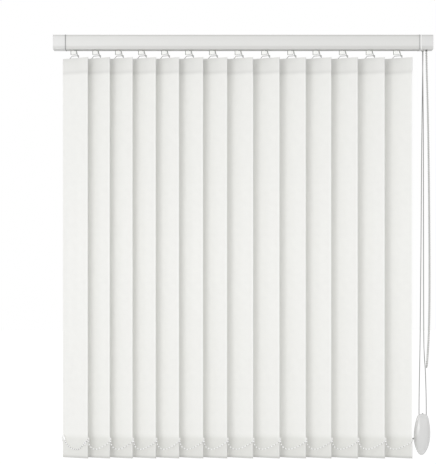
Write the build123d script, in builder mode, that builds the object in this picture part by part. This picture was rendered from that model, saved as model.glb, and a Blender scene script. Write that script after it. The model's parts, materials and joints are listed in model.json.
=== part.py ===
from build123d import *
import os
from math import cos, radians, sin, sqrt, tan

# A vertical blind: a headrail, fourteen fabric vanes on travelling carriers, a bead chain that
# turns the vanes and an endless cord with a weight that draws them along the rail.
# Frame: the origin is the middle of the rail's top face, +X runs to the control end, -Y to the
# room and +Z up. All sizes are in millimetres and all angles in degrees.

# Headrail and its end caps
OVERALL_LENGTH = 1100.0
RETURN_CAP_LENGTH = 37.6
CONTROL_CAP_LENGTH = 38.8
RAIL_HEIGHT = 42.0
RAIL_DEPTH = 46.0
RAIL_WALL = 1.5
FRONT_BOW = 1.0
CLIP_STEP_HEIGHT = 3.8
CLIP_STEP_DEPTH = 1.5
LOWER_CORNER_RADIUS = 2.0
SLOT_WIDTH = 14.0
CAP_WALL = 1.8
CAP_EDGE_CHAMFER = 1.2
CAP_END_CHAMFER = 0.6
FLANGE = 2.0
SPIGOT_LENGTH = 9.0
SPIGOT_WALL = 1.4
SPIGOT_CLEARANCE = 0.12

# Vanes: the width, the cut length, and how far each carrier is drawn from the one before it
VANE_WIDTH = 89.0
VANE_LENGTH = 1160.0
VANE_DROP = 23.0
VANE_TILT = 32.0
PLY = 0.45
POCKET_ROOM = 1.3
TOP_POCKET = 43.0
BOTTOM_POCKET = 63.0
SEAM = 1.5
FIRST_VANE_INSET = 26.0
LAST_VANE_INSET = 60.0
SPACING = [63.5, 66.0, 67.0, 67.0, 69.5, 69.5, 74.5, 77.0, 76.0, 73.5, 76.5, 78.0, 79.5]

# Stem that turns in the carrier: an eight-pointed wheel, a shaft and a hook; turned pieces
# are drawn with flat sides
TURNING_SIDES = 6
STEM_RADIUS = 2.9
STEM_CLEARANCE = 0.08
WHEEL_RADIUS = 4.0
WHEEL_HEIGHT = 6.0
BLADE_LEFT = 13.0
BLADE_RIGHT = 8.0
BLADE_HEIGHT = 14.4
BLADE_THICKNESS = 1.4
FOOT_RIGHT = 11.5
FOOT_LEFT = 3.5
FOOT_THICKNESS = 1.7
LIP_HEIGHT = 3.2
LIP_THICKNESS = 1.1
HOOK_GAP = 0.12

# Hanger that the stem carries, with its plate in the vane's top pocket
HANGER_THICKNESS = 1.1
HANGER_WIDTH = 80.0
HANGER_HEIGHT = 36.0
NECK_LEFT = 18.5
NECK_RIGHT = 12.5
NECK_GAP = 0.5
BAR_LEFT = 10.0
BAR_HEIGHT = 2.6
BAR_ABOVE_VANE = 7.4
LEG_WIDTH = 5.0
FLAP_WIDTH = 2.4

# Weight in the vane's bottom pocket, with an ear for the chain at each edge
PLATE_WIDTH = 84.0
PLATE_HEIGHT = 54.0
PLATE_THICKNESS = 1.05
EAR_REACH = 2.4
EAR_HEIGHT = 4.0
EAR_ABOVE_HEM = 56.4

# Bottom chains of small flat beads that meet at narrow necks
BEAD_PITCH = 9.0
BEAD_WIDTH = 4.0
BEAD_DEPTH = 2.2
NECK_WIDTH = 1.1
CHAIN_SWAG = 29.0
CHAIN_CLEARANCE = 0.25
CHAIN_SKEW = 0.66
CHAIN_BOW = 1.9
CONNECTOR_RADIUS = 3.2
CONNECTOR_HEIGHT = 15.0
CONNECTOR_DROP = 5.0

# Carriers
CARRIER_LENGTH = 21.0
CORE_DEPTH = 10.0
BASE_DEPTH = 25.0
BASE_HEIGHT = 5.5
BASE_TOP = -21.0
BASE_BOTTOM = -36.5
SHELF_THICKNESS = 1.6
BOSS_RADIUS = 5.5
BOSS_BELOW_RAIL = 0.5
WALL_THICKNESS = 2.8
WALL_TOP = -10.0
WALL_FRONT = -10.5
WORM_SIDE_GAP = 0.3
ROLLER_SIDES = 6
ROLLER_RADIUS = 5.1
ROLLER_WIDTH = 3.9
ROLLER_GAP = 0.1
CLAMP_REACH = 9.0
CLAMP_HEIGHT = 6.0
CLAMP_LENGTH = 8.0
SPACER_THICKNESS = 0.4
SPACER_WIDTH = 5.0
SPACER_LANES = 4
SPACER_LANE_PITCH = 0.9
SPACER_END = 4.0

# Tilt drive: a three-lobed rod, a worm sleeve in each carrier and the chain wheel
ROD_RADIUS = 2.6
ROD_CORE_RADIUS = 2.0
ROD_LOBES = 3
ROD_LOBE_WIDTH = 1.6
ROD_CLEARANCE = 0.1
ROD_Y = 8.0
ROD_Z = -17.0
JOURNAL_RADIUS = 2.2
JOURNAL_LENGTH = 8.0
BEARING_RADIUS = 4.4
WORM_RADIUS = 3.8
WORM_SIDES = 6
WORM_LENGTH = 14.6
CHAIN_WHEEL_INSET = 17.0
CHAIN_WHEEL_PITCH_RADIUS = 9.0
CHAIN_WHEEL_RIM = 2.2
CHAIN_WHEEL_WIDTH = 8.4
CHAIN_POCKETS = 8
POCKET_SIZE = 2.6
TILT_CHAIN_DIAMETER = 4.2
CHAIN_LOOP_HALF = 14.0
CHAIN_LOOP_INSET = 16.5
# Height of the tilt chain's hanging runs and their distance from the control end
CHAIN_DRIFTS = [
    (-60.0, CHAIN_WHEEL_INSET),
    (-235.0, 13.4),
    (-475.0, 10.4),
    (-715.0, 8.4),
    (-840.0, 9.7),
    (-905.0, 12.4),
    (-938.0, 14.5),
    (-955.0, 15.8),
]
BEND_SHARE = 0.45
CORD_SIDES = 5

# Traverse cord and the pulleys that guide it
CORD_DIAMETER = 2.2
CORD_GRIP_CLEARANCE = 0.1
CORD_Y = 6.5
CORD_Z = -27.0
CORD_EXIT_INSET = 28.0
GUIDE_PITCH_RADIUS = 5.5
GUIDE_WIDTH = 4.4
GUIDE_BOSS_RADIUS = 3.0
PULLEY_SIDES = 12
PULLEY_RIM = 1.3
GROOVE_CLEARANCE = 0.2
AXLE_RADIUS = 1.5
AXLE_CLEARANCE = 0.08
SIDE_GAP = 0.3
RETURN_PULLEY_INSET = 12.0
RETURN_POST_HEAD = 1.0
OUTLET_CLEARANCE = 1.2
OUTLET_WALL = 1.2
OUTLET_LIP = 3.0
# Height of the cord's two hanging runs and their distance from the control end
FRONT_DRIFTS = [
    (-60.0, 28.4),
    (-304.0, 31.9),
    (-680.0, 34.1),
    (-920.0, 36.4),
    (-1010.0, 38.4),
    (-1070.0, 39.1),
]
REAR_DRIFTS = [
    (-60.0, 27.9),
    (-640.0, 27.0),
    (-880.0, 26.0),
    (-925.0, 24.8),
    (-972.0, 20.6),
    (-1015.0, 19.1),
    (-1070.0, 18.0),
]

# Cord weight
WEIGHT_INSET = 28.55
WEIGHT_TOP = -1098.0
WEIGHT_LEAN = 1.5
WEIGHT_PITCH_RADIUS = 10.55
WEIGHT_PULLEY_WIDTH = 4.6
WEIGHT_PULLEY_DROP = 21.0
WEIGHT_CHANNEL = 4.2
WEIGHT_ROOM = 0.5
WEIGHT_PIN_HALF = 8.0
WEIGHT_RIM_DEPTH = 6.5
WEIGHT_RIM_TAPER = 14.0
WEIGHT_DOME_DEPTH = 6.0
WEIGHT_DOME_TAPER = 46.0
# Drop below the top and half width along the weight's outline
WEIGHT_OUTLINE = [
    (0.0, 13.4),
    (8.0, 15.4),
    (27.0, 18.6),
    (46.0, 21.8),
    (64.0, 22.7),
    (84.0, 21.0),
    (98.0, 17.6),
    (110.0, 12.6),
    (119.0, 5.2),
]

# Places that follow from the sizes above
HALF = OVERALL_LENGTH / 2
RAIL_LEFT = -HALF + RETURN_CAP_LENGTH
RAIL_RIGHT = HALF - CONTROL_CAP_LENGTH
CHAIN_WHEEL_X = HALF - CHAIN_WHEEL_INSET
CHAIN_LOOP_X = HALF - CHAIN_LOOP_INSET
CORD_EXIT_X = HALF - CORD_EXIT_INSET
WEIGHT_X = HALF - WEIGHT_INSET
LEDGE_TOP = -RAIL_HEIGHT + RAIL_WALL
SPIGOT_HALF = RAIL_DEPTH / 2 - RAIL_WALL - CLIP_STEP_DEPTH - SPIGOT_CLEARANCE
SPIGOT_HEIGHT = RAIL_HEIGHT - 2 * (RAIL_WALL + SPIGOT_CLEARANCE)
CAP_INNER_HALF = RAIL_DEPTH / 2 - CAP_WALL / 2
VANE_COUNT = len(SPACING) + 1
VANE_TOP = -RAIL_HEIGHT - VANE_DROP
VANE_BOTTOM = VANE_TOP - VANE_LENGTH
VANE_DEPTH = POCKET_ROOM + 2 * PLY
FIRST_VANE_X = RAIL_LEFT + FIRST_VANE_INSET
STATION_SPAN = RAIL_RIGHT - LAST_VANE_INSET - FIRST_VANE_X
STATIONS = [
    FIRST_VANE_X + STATION_SPAN * sum(SPACING[:index]) / sum(SPACING) for index in range(VANE_COUNT)
]
ALONG = Vector(cos(radians(VANE_TILT)), -sin(radians(VANE_TILT)), 0)
LEVEL = Plane(origin=(0, 0, 0), x_dir=ALONG, z_dir=(0, 0, 1))
FACE = Plane(origin=(0, 0, 0), x_dir=ALONG, z_dir=(ALONG.Y, -ALONG.X, 0))
STEM_TOP = BASE_TOP + AXLE_CLEARANCE
BLADE_TOP = -RAIL_HEIGHT - BOSS_BELOW_RAIL - HOOK_GAP
BLADE_BOTTOM = BLADE_TOP - BLADE_HEIGHT
BAR_TOP = VANE_TOP + BAR_ABOVE_VANE
BAR_LOW = BAR_TOP - BAR_HEIGHT
FOOT_TOP = BAR_LOW - HOOK_GAP
FOOT_BOTTOM = FOOT_TOP - FOOT_THICKNESS
HOOK_HALF = HANGER_THICKNESS / 2 + HOOK_GAP
HOOK_RIGHT = NECK_RIGHT - LEG_WIDTH - HOOK_GAP
HANGER_TOP = VANE_TOP - PLY - HOOK_GAP
EAR_Z = VANE_BOTTOM + EAR_ABOVE_HEM
EAR_END = VANE_WIDTH / 2 + EAR_REACH + BEAD_WIDTH / 2
EAR_CENTRE = VANE_WIDTH / 2 + EAR_REACH
TAIL_BOW = VANE_DEPTH / 2 + CHAIN_CLEARANCE + BEAD_DEPTH / 2
CONNECTOR_BOW = VANE_DEPTH / 2 + CHAIN_CLEARANCE + CONNECTOR_RADIUS
ANCHOR_DROP = EAR_HEIGHT / 2 + CHAIN_CLEARANCE + BEAD_PITCH / 2
ROLLER_Z = LEDGE_TOP + ROLLER_GAP + ROLLER_RADIUS
WALL_REAR = ROD_Y + WORM_RADIUS + WORM_SIDE_GAP + WALL_THICKNESS / 2
POST_X = (CARRIER_LENGTH - WALL_THICKNESS) / 2
CORD_RADIUS = CORD_DIAMETER / 2
GUIDE_X = CORD_EXIT_X - GUIDE_PITCH_RADIUS
GUIDE_Z = CORD_Z - GUIDE_PITCH_RADIUS
GUIDE_REACH = CORD_Y + GUIDE_WIDTH / 2 + SIDE_GAP
RETURN_X = RAIL_LEFT - RETURN_PULLEY_INSET
RETURN_PULLEY_LOW = CORD_Z - GUIDE_WIDTH / 2 - SIDE_GAP
ROD_SHOULDER = CHAIN_WHEEL_X + CHAIN_WHEEL_WIDTH / 2
ROD_FAR_END = RETURN_X - CORD_Y
WEIGHT_PULLEY_Z = WEIGHT_TOP - WEIGHT_PULLEY_DROP


def export_node(name, *pieces):
    """Write the solids of one node to its own file."""
    node = Compound([solid for piece in pieces for solid in piece.solids()])
    node.label = name
    export_step(node, f"parts/{name}.step")


def turned(radius):
    """Outline of a small shaft or pin; its corners lie at the radius."""
    return RegularPolygon(radius, TURNING_SIDES)


def bored(radius, mode=Mode.SUBTRACT):
    """Outline of the hole such a shaft turns in; its flats lie outside the radius."""
    return RegularPolygon(radius, TURNING_SIDES, major_radius=False, mode=mode)


os.makedirs("parts", exist_ok=True)

# Headrail: one extruded channel, open along the middle of its underside, with a bowed front
# and a step along both top edges for the fixing clips
with BuildPart() as headrail:
    with BuildSketch(Plane.YZ.offset(RAIL_LEFT)):
        with BuildLine():
            front = -RAIL_DEPTH / 2
            step = front + CLIP_STEP_DEPTH
            ledge = -CLIP_STEP_HEIGHT
            Polyline((-front, -RAIL_HEIGHT), (-front, ledge), (-step, ledge), (-step, 0))
            Polyline((-step, 0), (step, 0), (step, ledge), (front, ledge))
            bow_middle = (front - FRONT_BOW, -(RAIL_HEIGHT + CLIP_STEP_HEIGHT) / 2)
            ThreePointArc((front, ledge), bow_middle, (front, -RAIL_HEIGHT))
            Line((front, -RAIL_HEIGHT), (-front, -RAIL_HEIGHT))
        make_face()
        fillet(vertices().group_by(Axis.Y)[0], LOWER_CORNER_RADIUS)
        offset(amount=-RAIL_WALL, mode=Mode.SUBTRACT)
        with Locations((0, -RAIL_HEIGHT)):
            Rectangle(SLOT_WIDTH, 4 * RAIL_WALL, mode=Mode.SUBTRACT)
    extrude(amount=RAIL_RIGHT - RAIL_LEFT)
export_node("headrail", headrail.part)


def hollow_cap(joint_x, length, outward):
    """End cap: a moulded cup whose flanged mouth has a spigot that enters the rail."""
    with BuildPart() as cap:
        with BuildSketch(Plane.YZ.offset(joint_x)) as outline:
            with BuildLine():
                front = -RAIL_DEPTH / 2
                ThreePointArc((front, 0), (front - FRONT_BOW, -RAIL_HEIGHT / 2), (front, -RAIL_HEIGHT))
                Polyline((front, -RAIL_HEIGHT), (-front, -RAIL_HEIGHT), (-front, 0), (front, 0))
            make_face()
            chamfer(vertices(), CAP_EDGE_CHAMFER)
        extrude(amount=outward * length)
        end_face = faces().sort_by(Axis.X)[-1 if outward > 0 else 0]
        chamfer(end_face.edges(), CAP_END_CHAMFER)
        with BuildSketch(Plane.YZ.offset(joint_x + outward * FLANGE)):
            with Locations((0, -RAIL_HEIGHT / 2)):
                Rectangle(RAIL_DEPTH - 2 * CAP_WALL, RAIL_HEIGHT - 2 * CAP_WALL)
        extrude(amount=outward * (length - FLANGE - CAP_WALL), mode=Mode.SUBTRACT)
        with BuildSketch(Plane.YZ.offset(joint_x - outward * SPIGOT_LENGTH)):
            with Locations((0, -RAIL_HEIGHT / 2)):
                Rectangle(2 * SPIGOT_HALF, SPIGOT_HEIGHT)
        extrude(amount=outward * SPIGOT_LENGTH)
        with BuildSketch(Plane.YZ.offset(joint_x - outward * SPIGOT_LENGTH)):
            with Locations((0, -RAIL_HEIGHT / 2)):
                Rectangle(2 * (SPIGOT_HALF - SPIGOT_WALL), SPIGOT_HEIGHT - 2 * SPIGOT_WALL)
        extrude(amount=outward * (SPIGOT_LENGTH + FLANGE), mode=Mode.SUBTRACT)
    return cap.part


def bearing(wall_x, mouth_x):
    """Blind bearing boss for a journal of the rod, from an end wall inwards."""
    with BuildPart() as boss:
        with BuildSketch(Plane.YZ.offset(mouth_x)):
            with Locations((ROD_Y, ROD_Z)):
                turned(BEARING_RADIUS)
        extrude(amount=wall_x - mouth_x)
        with BuildSketch(Plane.YZ.offset(mouth_x)):
            with Locations((ROD_Y, ROD_Z)):
                bored(JOURNAL_RADIUS + AXLE_CLEARANCE, mode=Mode.ADD)
        depth = JOURNAL_LENGTH + SIDE_GAP
        extrude(amount=depth if wall_x > mouth_x else -depth, mode=Mode.SUBTRACT)
    return boss.part


# Control cap, with bearings for the rod and the guide pulleys and outlets for cord and chain
control_shell = hollow_cap(RAIL_RIGHT, CONTROL_CAP_LENGTH, 1)
control_bearing = bearing(HALF - CAP_WALL / 2, ROD_SHOULDER + SIDE_GAP)
with BuildPart() as control_cap:
    add(control_shell)
    add(control_bearing)
    for side in (-1, 1):
        with BuildSketch(Plane(origin=(GUIDE_X, side * GUIDE_REACH, GUIDE_Z), z_dir=(0, side, 0))):
            turned(GUIDE_BOSS_RADIUS)
            bored(AXLE_RADIUS + AXLE_CLEARANCE)
        extrude(amount=CAP_INNER_HALF - GUIDE_REACH)
    cord_slot_width = CORD_DIAMETER + 2 * OUTLET_CLEARANCE
    cord_slot_depth = 2 * CORD_Y + cord_slot_width
    chain_slot_width = TILT_CHAIN_DIAMETER + 2 * OUTLET_CLEARANCE
    chain_slot_depth = 2 * CHAIN_WHEEL_PITCH_RADIUS + chain_slot_width
    with BuildSketch(Plane.XY.offset(-RAIL_HEIGHT - OUTLET_LIP)):
        with Locations((CORD_EXIT_X, 0)):
            Rectangle(cord_slot_width + 2 * OUTLET_WALL, cord_slot_depth + 2 * OUTLET_WALL)
    extrude(amount=OUTLET_LIP)
    with BuildSketch(Plane.XY.offset(-RAIL_HEIGHT - OUTLET_LIP)):
        with Locations((CORD_EXIT_X, 0)):
            Rectangle(cord_slot_width, cord_slot_depth)
        with Locations((CHAIN_WHEEL_X, ROD_Y)):
            Rectangle(chain_slot_width, chain_slot_depth)
    extrude(amount=OUTLET_LIP + CAP_WALL, mode=Mode.SUBTRACT)
export_node("control_cap", control_cap.part)

# Return cap, with a bearing for the rod and a post for the return pulley
return_shell = hollow_cap(RAIL_LEFT, RETURN_CAP_LENGTH, -1)
return_bearing = bearing(-HALF + CAP_WALL / 2, ROD_FAR_END - SIDE_GAP)
with BuildPart() as return_cap:
    add(return_shell)
    add(return_bearing)
    with BuildSketch(Plane.XY.offset(-RAIL_HEIGHT + CAP_WALL / 2)):
        with Locations((RETURN_X, 0)):
            turned(GUIDE_BOSS_RADIUS)
    extrude(amount=RETURN_PULLEY_LOW + RAIL_HEIGHT - CAP_WALL / 2)
    with BuildSketch(Plane.XY.offset(RETURN_PULLEY_LOW)):
        with Locations((RETURN_X, 0)):
            turned(AXLE_RADIUS)
    extrude(amount=GUIDE_WIDTH + 2 * SIDE_GAP + RETURN_POST_HEAD)
export_node("return_cap", return_cap.part)


def grooved_pulley(centre_plane, pitch_radius, width):
    """Pulley with a square-bottomed groove for the cord; the plane's normal is its axle."""
    groove_half = CORD_RADIUS + GROOVE_CLEARANCE
    with BuildPart() as pulley:
        with BuildSketch(centre_plane):
            RegularPolygon(pitch_radius + PULLEY_RIM, PULLEY_SIDES)
            bored(AXLE_RADIUS + AXLE_CLEARANCE)
        extrude(amount=width / 2, both=True)
        with BuildSketch(centre_plane):
            RegularPolygon(pitch_radius + 2 * PULLEY_RIM, PULLEY_SIDES)
            RegularPolygon(pitch_radius - groove_half, PULLEY_SIDES, mode=Mode.SUBTRACT)
        extrude(amount=groove_half, both=True, mode=Mode.SUBTRACT)
    return pulley.part


# Return pulley on its upright post, and the two guide pulleys on one cross axle
return_plane = Plane(origin=(RETURN_X, 0, CORD_Z), z_dir=(0, 0, 1))
export_node("return_pulley", grooved_pulley(return_plane, CORD_Y, GUIDE_WIDTH))
for side, name in ((-1, "front_guide_pulley"), (1, "rear_guide_pulley")):
    guide_plane = Plane(origin=(GUIDE_X, side * CORD_Y, GUIDE_Z), z_dir=(0, 1, 0))
    export_node(name, grooved_pulley(guide_plane, GUIDE_PITCH_RADIUS, GUIDE_WIDTH))
with BuildPart() as guide_axle:
    with BuildSketch(Plane(origin=(GUIDE_X, 0, GUIDE_Z), z_dir=(0, 1, 0))):
        turned(AXLE_RADIUS)
    extrude(amount=CAP_INNER_HALF - CAP_WALL, both=True)
export_node("guide_axle", guide_axle.part)

# Tilt rod: three lobes that drive every worm, and a journal at each end
with BuildPart() as tilt_rod:
    with BuildSketch(Plane.YZ.offset(ROD_FAR_END)):
        with Locations((ROD_Y, ROD_Z)):
            RegularPolygon(ROD_CORE_RADIUS, 2 * ROD_LOBES)
            with PolarLocations(ROD_RADIUS / 2, ROD_LOBES):
                Rectangle(ROD_RADIUS - STEM_CLEARANCE, ROD_LOBE_WIDTH)
    extrude(amount=ROD_SHOULDER - ROD_FAR_END)
    with BuildSketch(Plane.YZ.offset(ROD_FAR_END - JOURNAL_LENGTH)):
        with Locations((ROD_Y, ROD_Z)):
            turned(JOURNAL_RADIUS)
    extrude(amount=JOURNAL_LENGTH)
    with BuildSketch(Plane.YZ.offset(ROD_SHOULDER)):
        with Locations((ROD_Y, ROD_Z)):
            turned(JOURNAL_RADIUS)
    extrude(amount=JOURNAL_LENGTH)
export_node("tilt_rod", tilt_rod.part)

# Chain wheel: two flanges beside a groove, with a notch in both rims for every bead
wheel_plane = Plane(origin=(CHAIN_WHEEL_X, ROD_Y, ROD_Z), x_dir=(0, 1, 0), z_dir=(1, 0, 0))
chain_groove_half = TILT_CHAIN_DIAMETER / 2 + GROOVE_CLEARANCE
with BuildPart() as chain_wheel:
    with BuildSketch(wheel_plane):
        RegularPolygon(CHAIN_WHEEL_PITCH_RADIUS + CHAIN_WHEEL_RIM, 2 * CHAIN_POCKETS)
        with PolarLocations(CHAIN_WHEEL_PITCH_RADIUS + CHAIN_WHEEL_RIM, CHAIN_POCKETS):
            Rectangle(POCKET_SIZE, POCKET_SIZE, mode=Mode.SUBTRACT)
        bored(ROD_RADIUS + ROD_CLEARANCE)
    extrude(amount=CHAIN_WHEEL_WIDTH / 2, both=True)
    with BuildSketch(wheel_plane):
        RegularPolygon(CHAIN_WHEEL_PITCH_RADIUS + 2 * CHAIN_WHEEL_RIM, 2 * CHAIN_POCKETS)
        RegularPolygon(CHAIN_WHEEL_PITCH_RADIUS - chain_groove_half, 2 * CHAIN_POCKETS, mode=Mode.SUBTRACT)
    extrude(amount=chain_groove_half, both=True, mode=Mode.SUBTRACT)
export_node("chain_wheel", chain_wheel.part)

# Carrier: one profile, with a foot for the rollers, a core beside which the cord runs, and two
# walls that hold the worm under the rod; a boss reaches through the rail's slot
with BuildPart() as carrier_body:
    with BuildSketch(Plane.YZ):
        with Locations((0, (BASE_TOP + BASE_BOTTOM) / 2)):
            Rectangle(CORE_DEPTH, BASE_TOP - BASE_BOTTOM)
        with Locations((0, BASE_BOTTOM + BASE_HEIGHT / 2)):
            Rectangle(BASE_DEPTH, BASE_HEIGHT)
        with Locations(((WALL_FRONT + WALL_REAR) / 2, (WALL_TOP + BASE_TOP) / 2 - SHELF_THICKNESS / 2)):
            Rectangle(WALL_REAR - WALL_FRONT, WALL_TOP - BASE_TOP + SHELF_THICKNESS)
        trough_front = WALL_FRONT + WALL_THICKNESS
        trough_rear = WALL_REAR - WALL_THICKNESS / 2
        with Locations(((trough_front + trough_rear) / 2, (WALL_TOP + BASE_TOP) / 2)):
            Rectangle(trough_rear - trough_front, WALL_TOP - BASE_TOP, mode=Mode.SUBTRACT)
    extrude(amount=CARRIER_LENGTH / 2, both=True)
    with BuildSketch(Plane.XY.offset(-RAIL_HEIGHT - BOSS_BELOW_RAIL)):
        turned(BOSS_RADIUS)
    extrude(amount=RAIL_HEIGHT + BOSS_BELOW_RAIL + BASE_BOTTOM)
    for side in (-1, 1):
        with BuildSketch(Plane(origin=(0, side * BASE_DEPTH / 2, ROLLER_Z), z_dir=(0, side, 0))):
            RegularPolygon(ROLLER_RADIUS, ROLLER_SIDES)
        extrude(amount=ROLLER_WIDTH)
    with BuildSketch(Plane.XY.offset(BASE_TOP)):
        bored(STEM_RADIUS + STEM_CLEARANCE, mode=Mode.ADD)
    extrude(amount=-RAIL_HEIGHT, mode=Mode.SUBTRACT)

# The carrier that leads has a clamp block, which holds the front run of the cord
with BuildPart() as leading_body:
    add(carrier_body.part)
    with BuildSketch(Plane.YZ):
        with Locations((-(CLAMP_REACH + CORE_DEPTH / 2) / 2, CORD_Z)):
            Rectangle(CLAMP_REACH - CORE_DEPTH / 2, CLAMP_HEIGHT)
        with Locations((-CORD_Y, CORD_Z)):
            grip = CORD_DIAMETER + 2 * CORD_GRIP_CLEARANCE
            Rectangle(grip, grip, mode=Mode.SUBTRACT)
    extrude(amount=CLAMP_LENGTH / 2, both=True)

with BuildPart() as worm:
    with BuildSketch(Plane.YZ):
        with Locations((ROD_Y, ROD_Z)):
            RegularPolygon(WORM_RADIUS, WORM_SIDES)
            RegularPolygon(ROD_RADIUS + ROD_CLEARANCE, WORM_SIDES, major_radius=False, mode=Mode.SUBTRACT)
    extrude(amount=WORM_LENGTH / 2, both=True)


def spacer(lane, reach):
    """Thin strip on its post, which lets the next carrier run only as far as its end."""
    height = WALL_TOP + SPACER_LANE_PITCH * (lane + 1)
    tab_width = WALL_THICKNESS + SIDE_GAP + SPACER_WIDTH
    with BuildPart() as strip:
        with BuildSketch(Plane.XY.offset(WALL_TOP)):
            with Locations((POST_X, WALL_FRONT + WALL_THICKNESS / 2)):
                Rectangle(WALL_THICKNESS, WALL_THICKNESS)
        extrude(amount=height - WALL_TOP)
        with BuildSketch(Plane.XY.offset(height)):
            with Locations((POST_X, WALL_FRONT + tab_width / 2)):
                Rectangle(WALL_THICKNESS, tab_width)
            strip_x = POST_X + (reach - WALL_THICKNESS) / 2
            with Locations((strip_x, WALL_FRONT + tab_width - SPACER_WIDTH / 2)):
                Rectangle(reach, SPACER_WIDTH)
        extrude(amount=SPACER_THICKNESS)
    return strip.part


for number, station in enumerate(STATIONS, start=1):
    last = number == VANE_COUNT
    pieces = [leading_body.part if last else carrier_body.part, worm.part]
    if not last:
        gap = STATIONS[number] - station
        pieces.append(spacer(number % SPACER_LANES, gap - POST_X + SPACER_END))
    export_node(f"carrier_{number:02d}", *[Pos(station, 0, 0) * piece for piece in pieces])

# Stem: a pointed wheel and a shaft in the carrier, and below the rail a flat blade whose foot
# passes under the hanger's bar and ends in a lip behind it
with BuildPart() as stem:
    with BuildSketch(Plane.XY.offset(STEM_TOP)):
        for turn in (0, 45):
            RegularPolygon(WHEEL_RADIUS, 4, rotation=turn)
    extrude(amount=WHEEL_HEIGHT)
    with BuildSketch(Plane.XY.offset(BLADE_TOP)):
        turned(STEM_RADIUS)
    extrude(amount=STEM_TOP - BLADE_TOP)
    with BuildSketch(FACE.offset(HOOK_HALF)):
        with BuildLine():
            Polyline(
                (-BLADE_LEFT, BLADE_TOP),
                (BLADE_RIGHT, BLADE_TOP),
                (FOOT_RIGHT, FOOT_BOTTOM),
                (FOOT_LEFT, FOOT_BOTTOM),
                (FOOT_LEFT, BLADE_BOTTOM),
                (-BLADE_LEFT, BLADE_BOTTOM),
                close=True,
            )
        make_face()
    extrude(amount=BLADE_THICKNESS)
    with BuildSketch(FACE.offset(HOOK_HALF)):
        with Locations(((FOOT_LEFT + HOOK_RIGHT) / 2, (FOOT_TOP + FOOT_BOTTOM) / 2)):
            Rectangle(HOOK_RIGHT - FOOT_LEFT, FOOT_THICKNESS)
    extrude(amount=-2 * HOOK_HALF - LIP_THICKNESS)
    with BuildSketch(FACE.offset(-HOOK_HALF)):
        with Locations(((FOOT_LEFT + HOOK_RIGHT) / 2, FOOT_BOTTOM + LIP_HEIGHT / 2)):
            Rectangle(HOOK_RIGHT - FOOT_LEFT, LIP_HEIGHT)
    extrude(amount=-LIP_THICKNESS)

# Hanger: a plate for the top pocket, with a neck that ends in a bar over a window
with BuildPart() as hanger:
    with BuildSketch(FACE):
        with Locations((0, HANGER_TOP - HANGER_HEIGHT / 2)):
            Rectangle(HANGER_WIDTH, HANGER_HEIGHT)
        with BuildLine():
            Polyline(
                (-NECK_LEFT, HANGER_TOP),
                (NECK_RIGHT, HANGER_TOP),
                (NECK_RIGHT, BAR_TOP),
                (-BAR_LEFT, BAR_TOP),
                close=True,
            )
        make_face()
        with BuildLine():
            Polyline(
                (-NECK_LEFT + LEG_WIDTH, HANGER_TOP),
                (NECK_RIGHT - LEG_WIDTH, HANGER_TOP),
                (NECK_RIGHT - LEG_WIDTH, BAR_LOW),
                (-BAR_LEFT + FLAP_WIDTH, BAR_LOW),
                close=True,
            )
        make_face(mode=Mode.SUBTRACT)
    extrude(amount=HANGER_THICKNESS / 2, both=True)

for number, station in enumerate(STATIONS, start=1):
    export_node(f"stem_{number:02d}", *[Pos(station, 0, 0) * piece for piece in (stem.part, hanger.part)])

# Vane: one ply from top to hem, folded back and welded into a pocket at each end
with BuildPart() as vane:
    with BuildSketch(LEVEL.offset(VANE_BOTTOM)):
        with Locations((0, (PLY - VANE_DEPTH) / 2)):
            Rectangle(VANE_WIDTH, PLY)
    extrude(amount=VANE_LENGTH)
    with BuildSketch(LEVEL.offset(VANE_BOTTOM)):
        Rectangle(VANE_WIDTH, VANE_DEPTH)
    extrude(amount=BOTTOM_POCKET)
    with BuildSketch(LEVEL.offset(VANE_TOP)):
        Rectangle(VANE_WIDTH, VANE_DEPTH)
    extrude(amount=-TOP_POCKET)
    with BuildSketch(LEVEL.offset(VANE_BOTTOM + PLY)):
        Rectangle(VANE_WIDTH, POCKET_ROOM)
    extrude(amount=BOTTOM_POCKET - PLY - SEAM, mode=Mode.SUBTRACT)
    with BuildSketch(LEVEL.offset(VANE_TOP - PLY)):
        Rectangle(VANE_WIDTH, POCKET_ROOM)
    extrude(amount=SEAM + PLY - TOP_POCKET, mode=Mode.SUBTRACT)
    with BuildSketch(LEVEL.offset(VANE_TOP)):
        Rectangle(2 * (NECK_LEFT + NECK_GAP), POCKET_ROOM)
    extrude(amount=-2 * PLY, mode=Mode.SUBTRACT)

# Weight plate in the bottom pocket, with an ear for the chain at each edge
with BuildPart() as weight_plate:
    with BuildSketch(FACE):
        with Locations((0, VANE_BOTTOM + 2 * PLY + PLATE_HEIGHT / 2)):
            Rectangle(PLATE_WIDTH, PLATE_HEIGHT)
        with Locations((0, EAR_Z)):
            Rectangle(2 * EAR_END, EAR_HEIGHT)
    extrude(amount=PLATE_THICKNESS / 2, both=True)

for number, station in enumerate(STATIONS, start=1):
    pieces = [Pos(station, 0, 0) * piece for piece in (vane.part, weight_plate.part)]
    export_node(f"vane_{number:02d}", *pieces)


def hanging_points(start, end):
    """Bead centres of a chain that hangs between two points, evenly spaced along it."""
    steps = 240
    track = []
    for index in range(steps + 1):
        share = index / steps
        fall = share**CHAIN_SKEW
        drop = Vector(0, 0, 4 * CHAIN_SWAG * fall * (1 - fall))
        track.append(start + (end - start) * share - drop)
    lengths = [0.0]
    for before, after in zip(track, track[1:]):
        lengths.append(lengths[-1] + (after - before).length)
    count = round(lengths[-1] / BEAD_PITCH)
    beads = []
    for bead in range(count + 1):
        target = lengths[-1] * bead / count
        index = min(range(steps + 1), key=lambda place: abs(lengths[place] - target))
        beads.append(track[index])
    return beads


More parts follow.
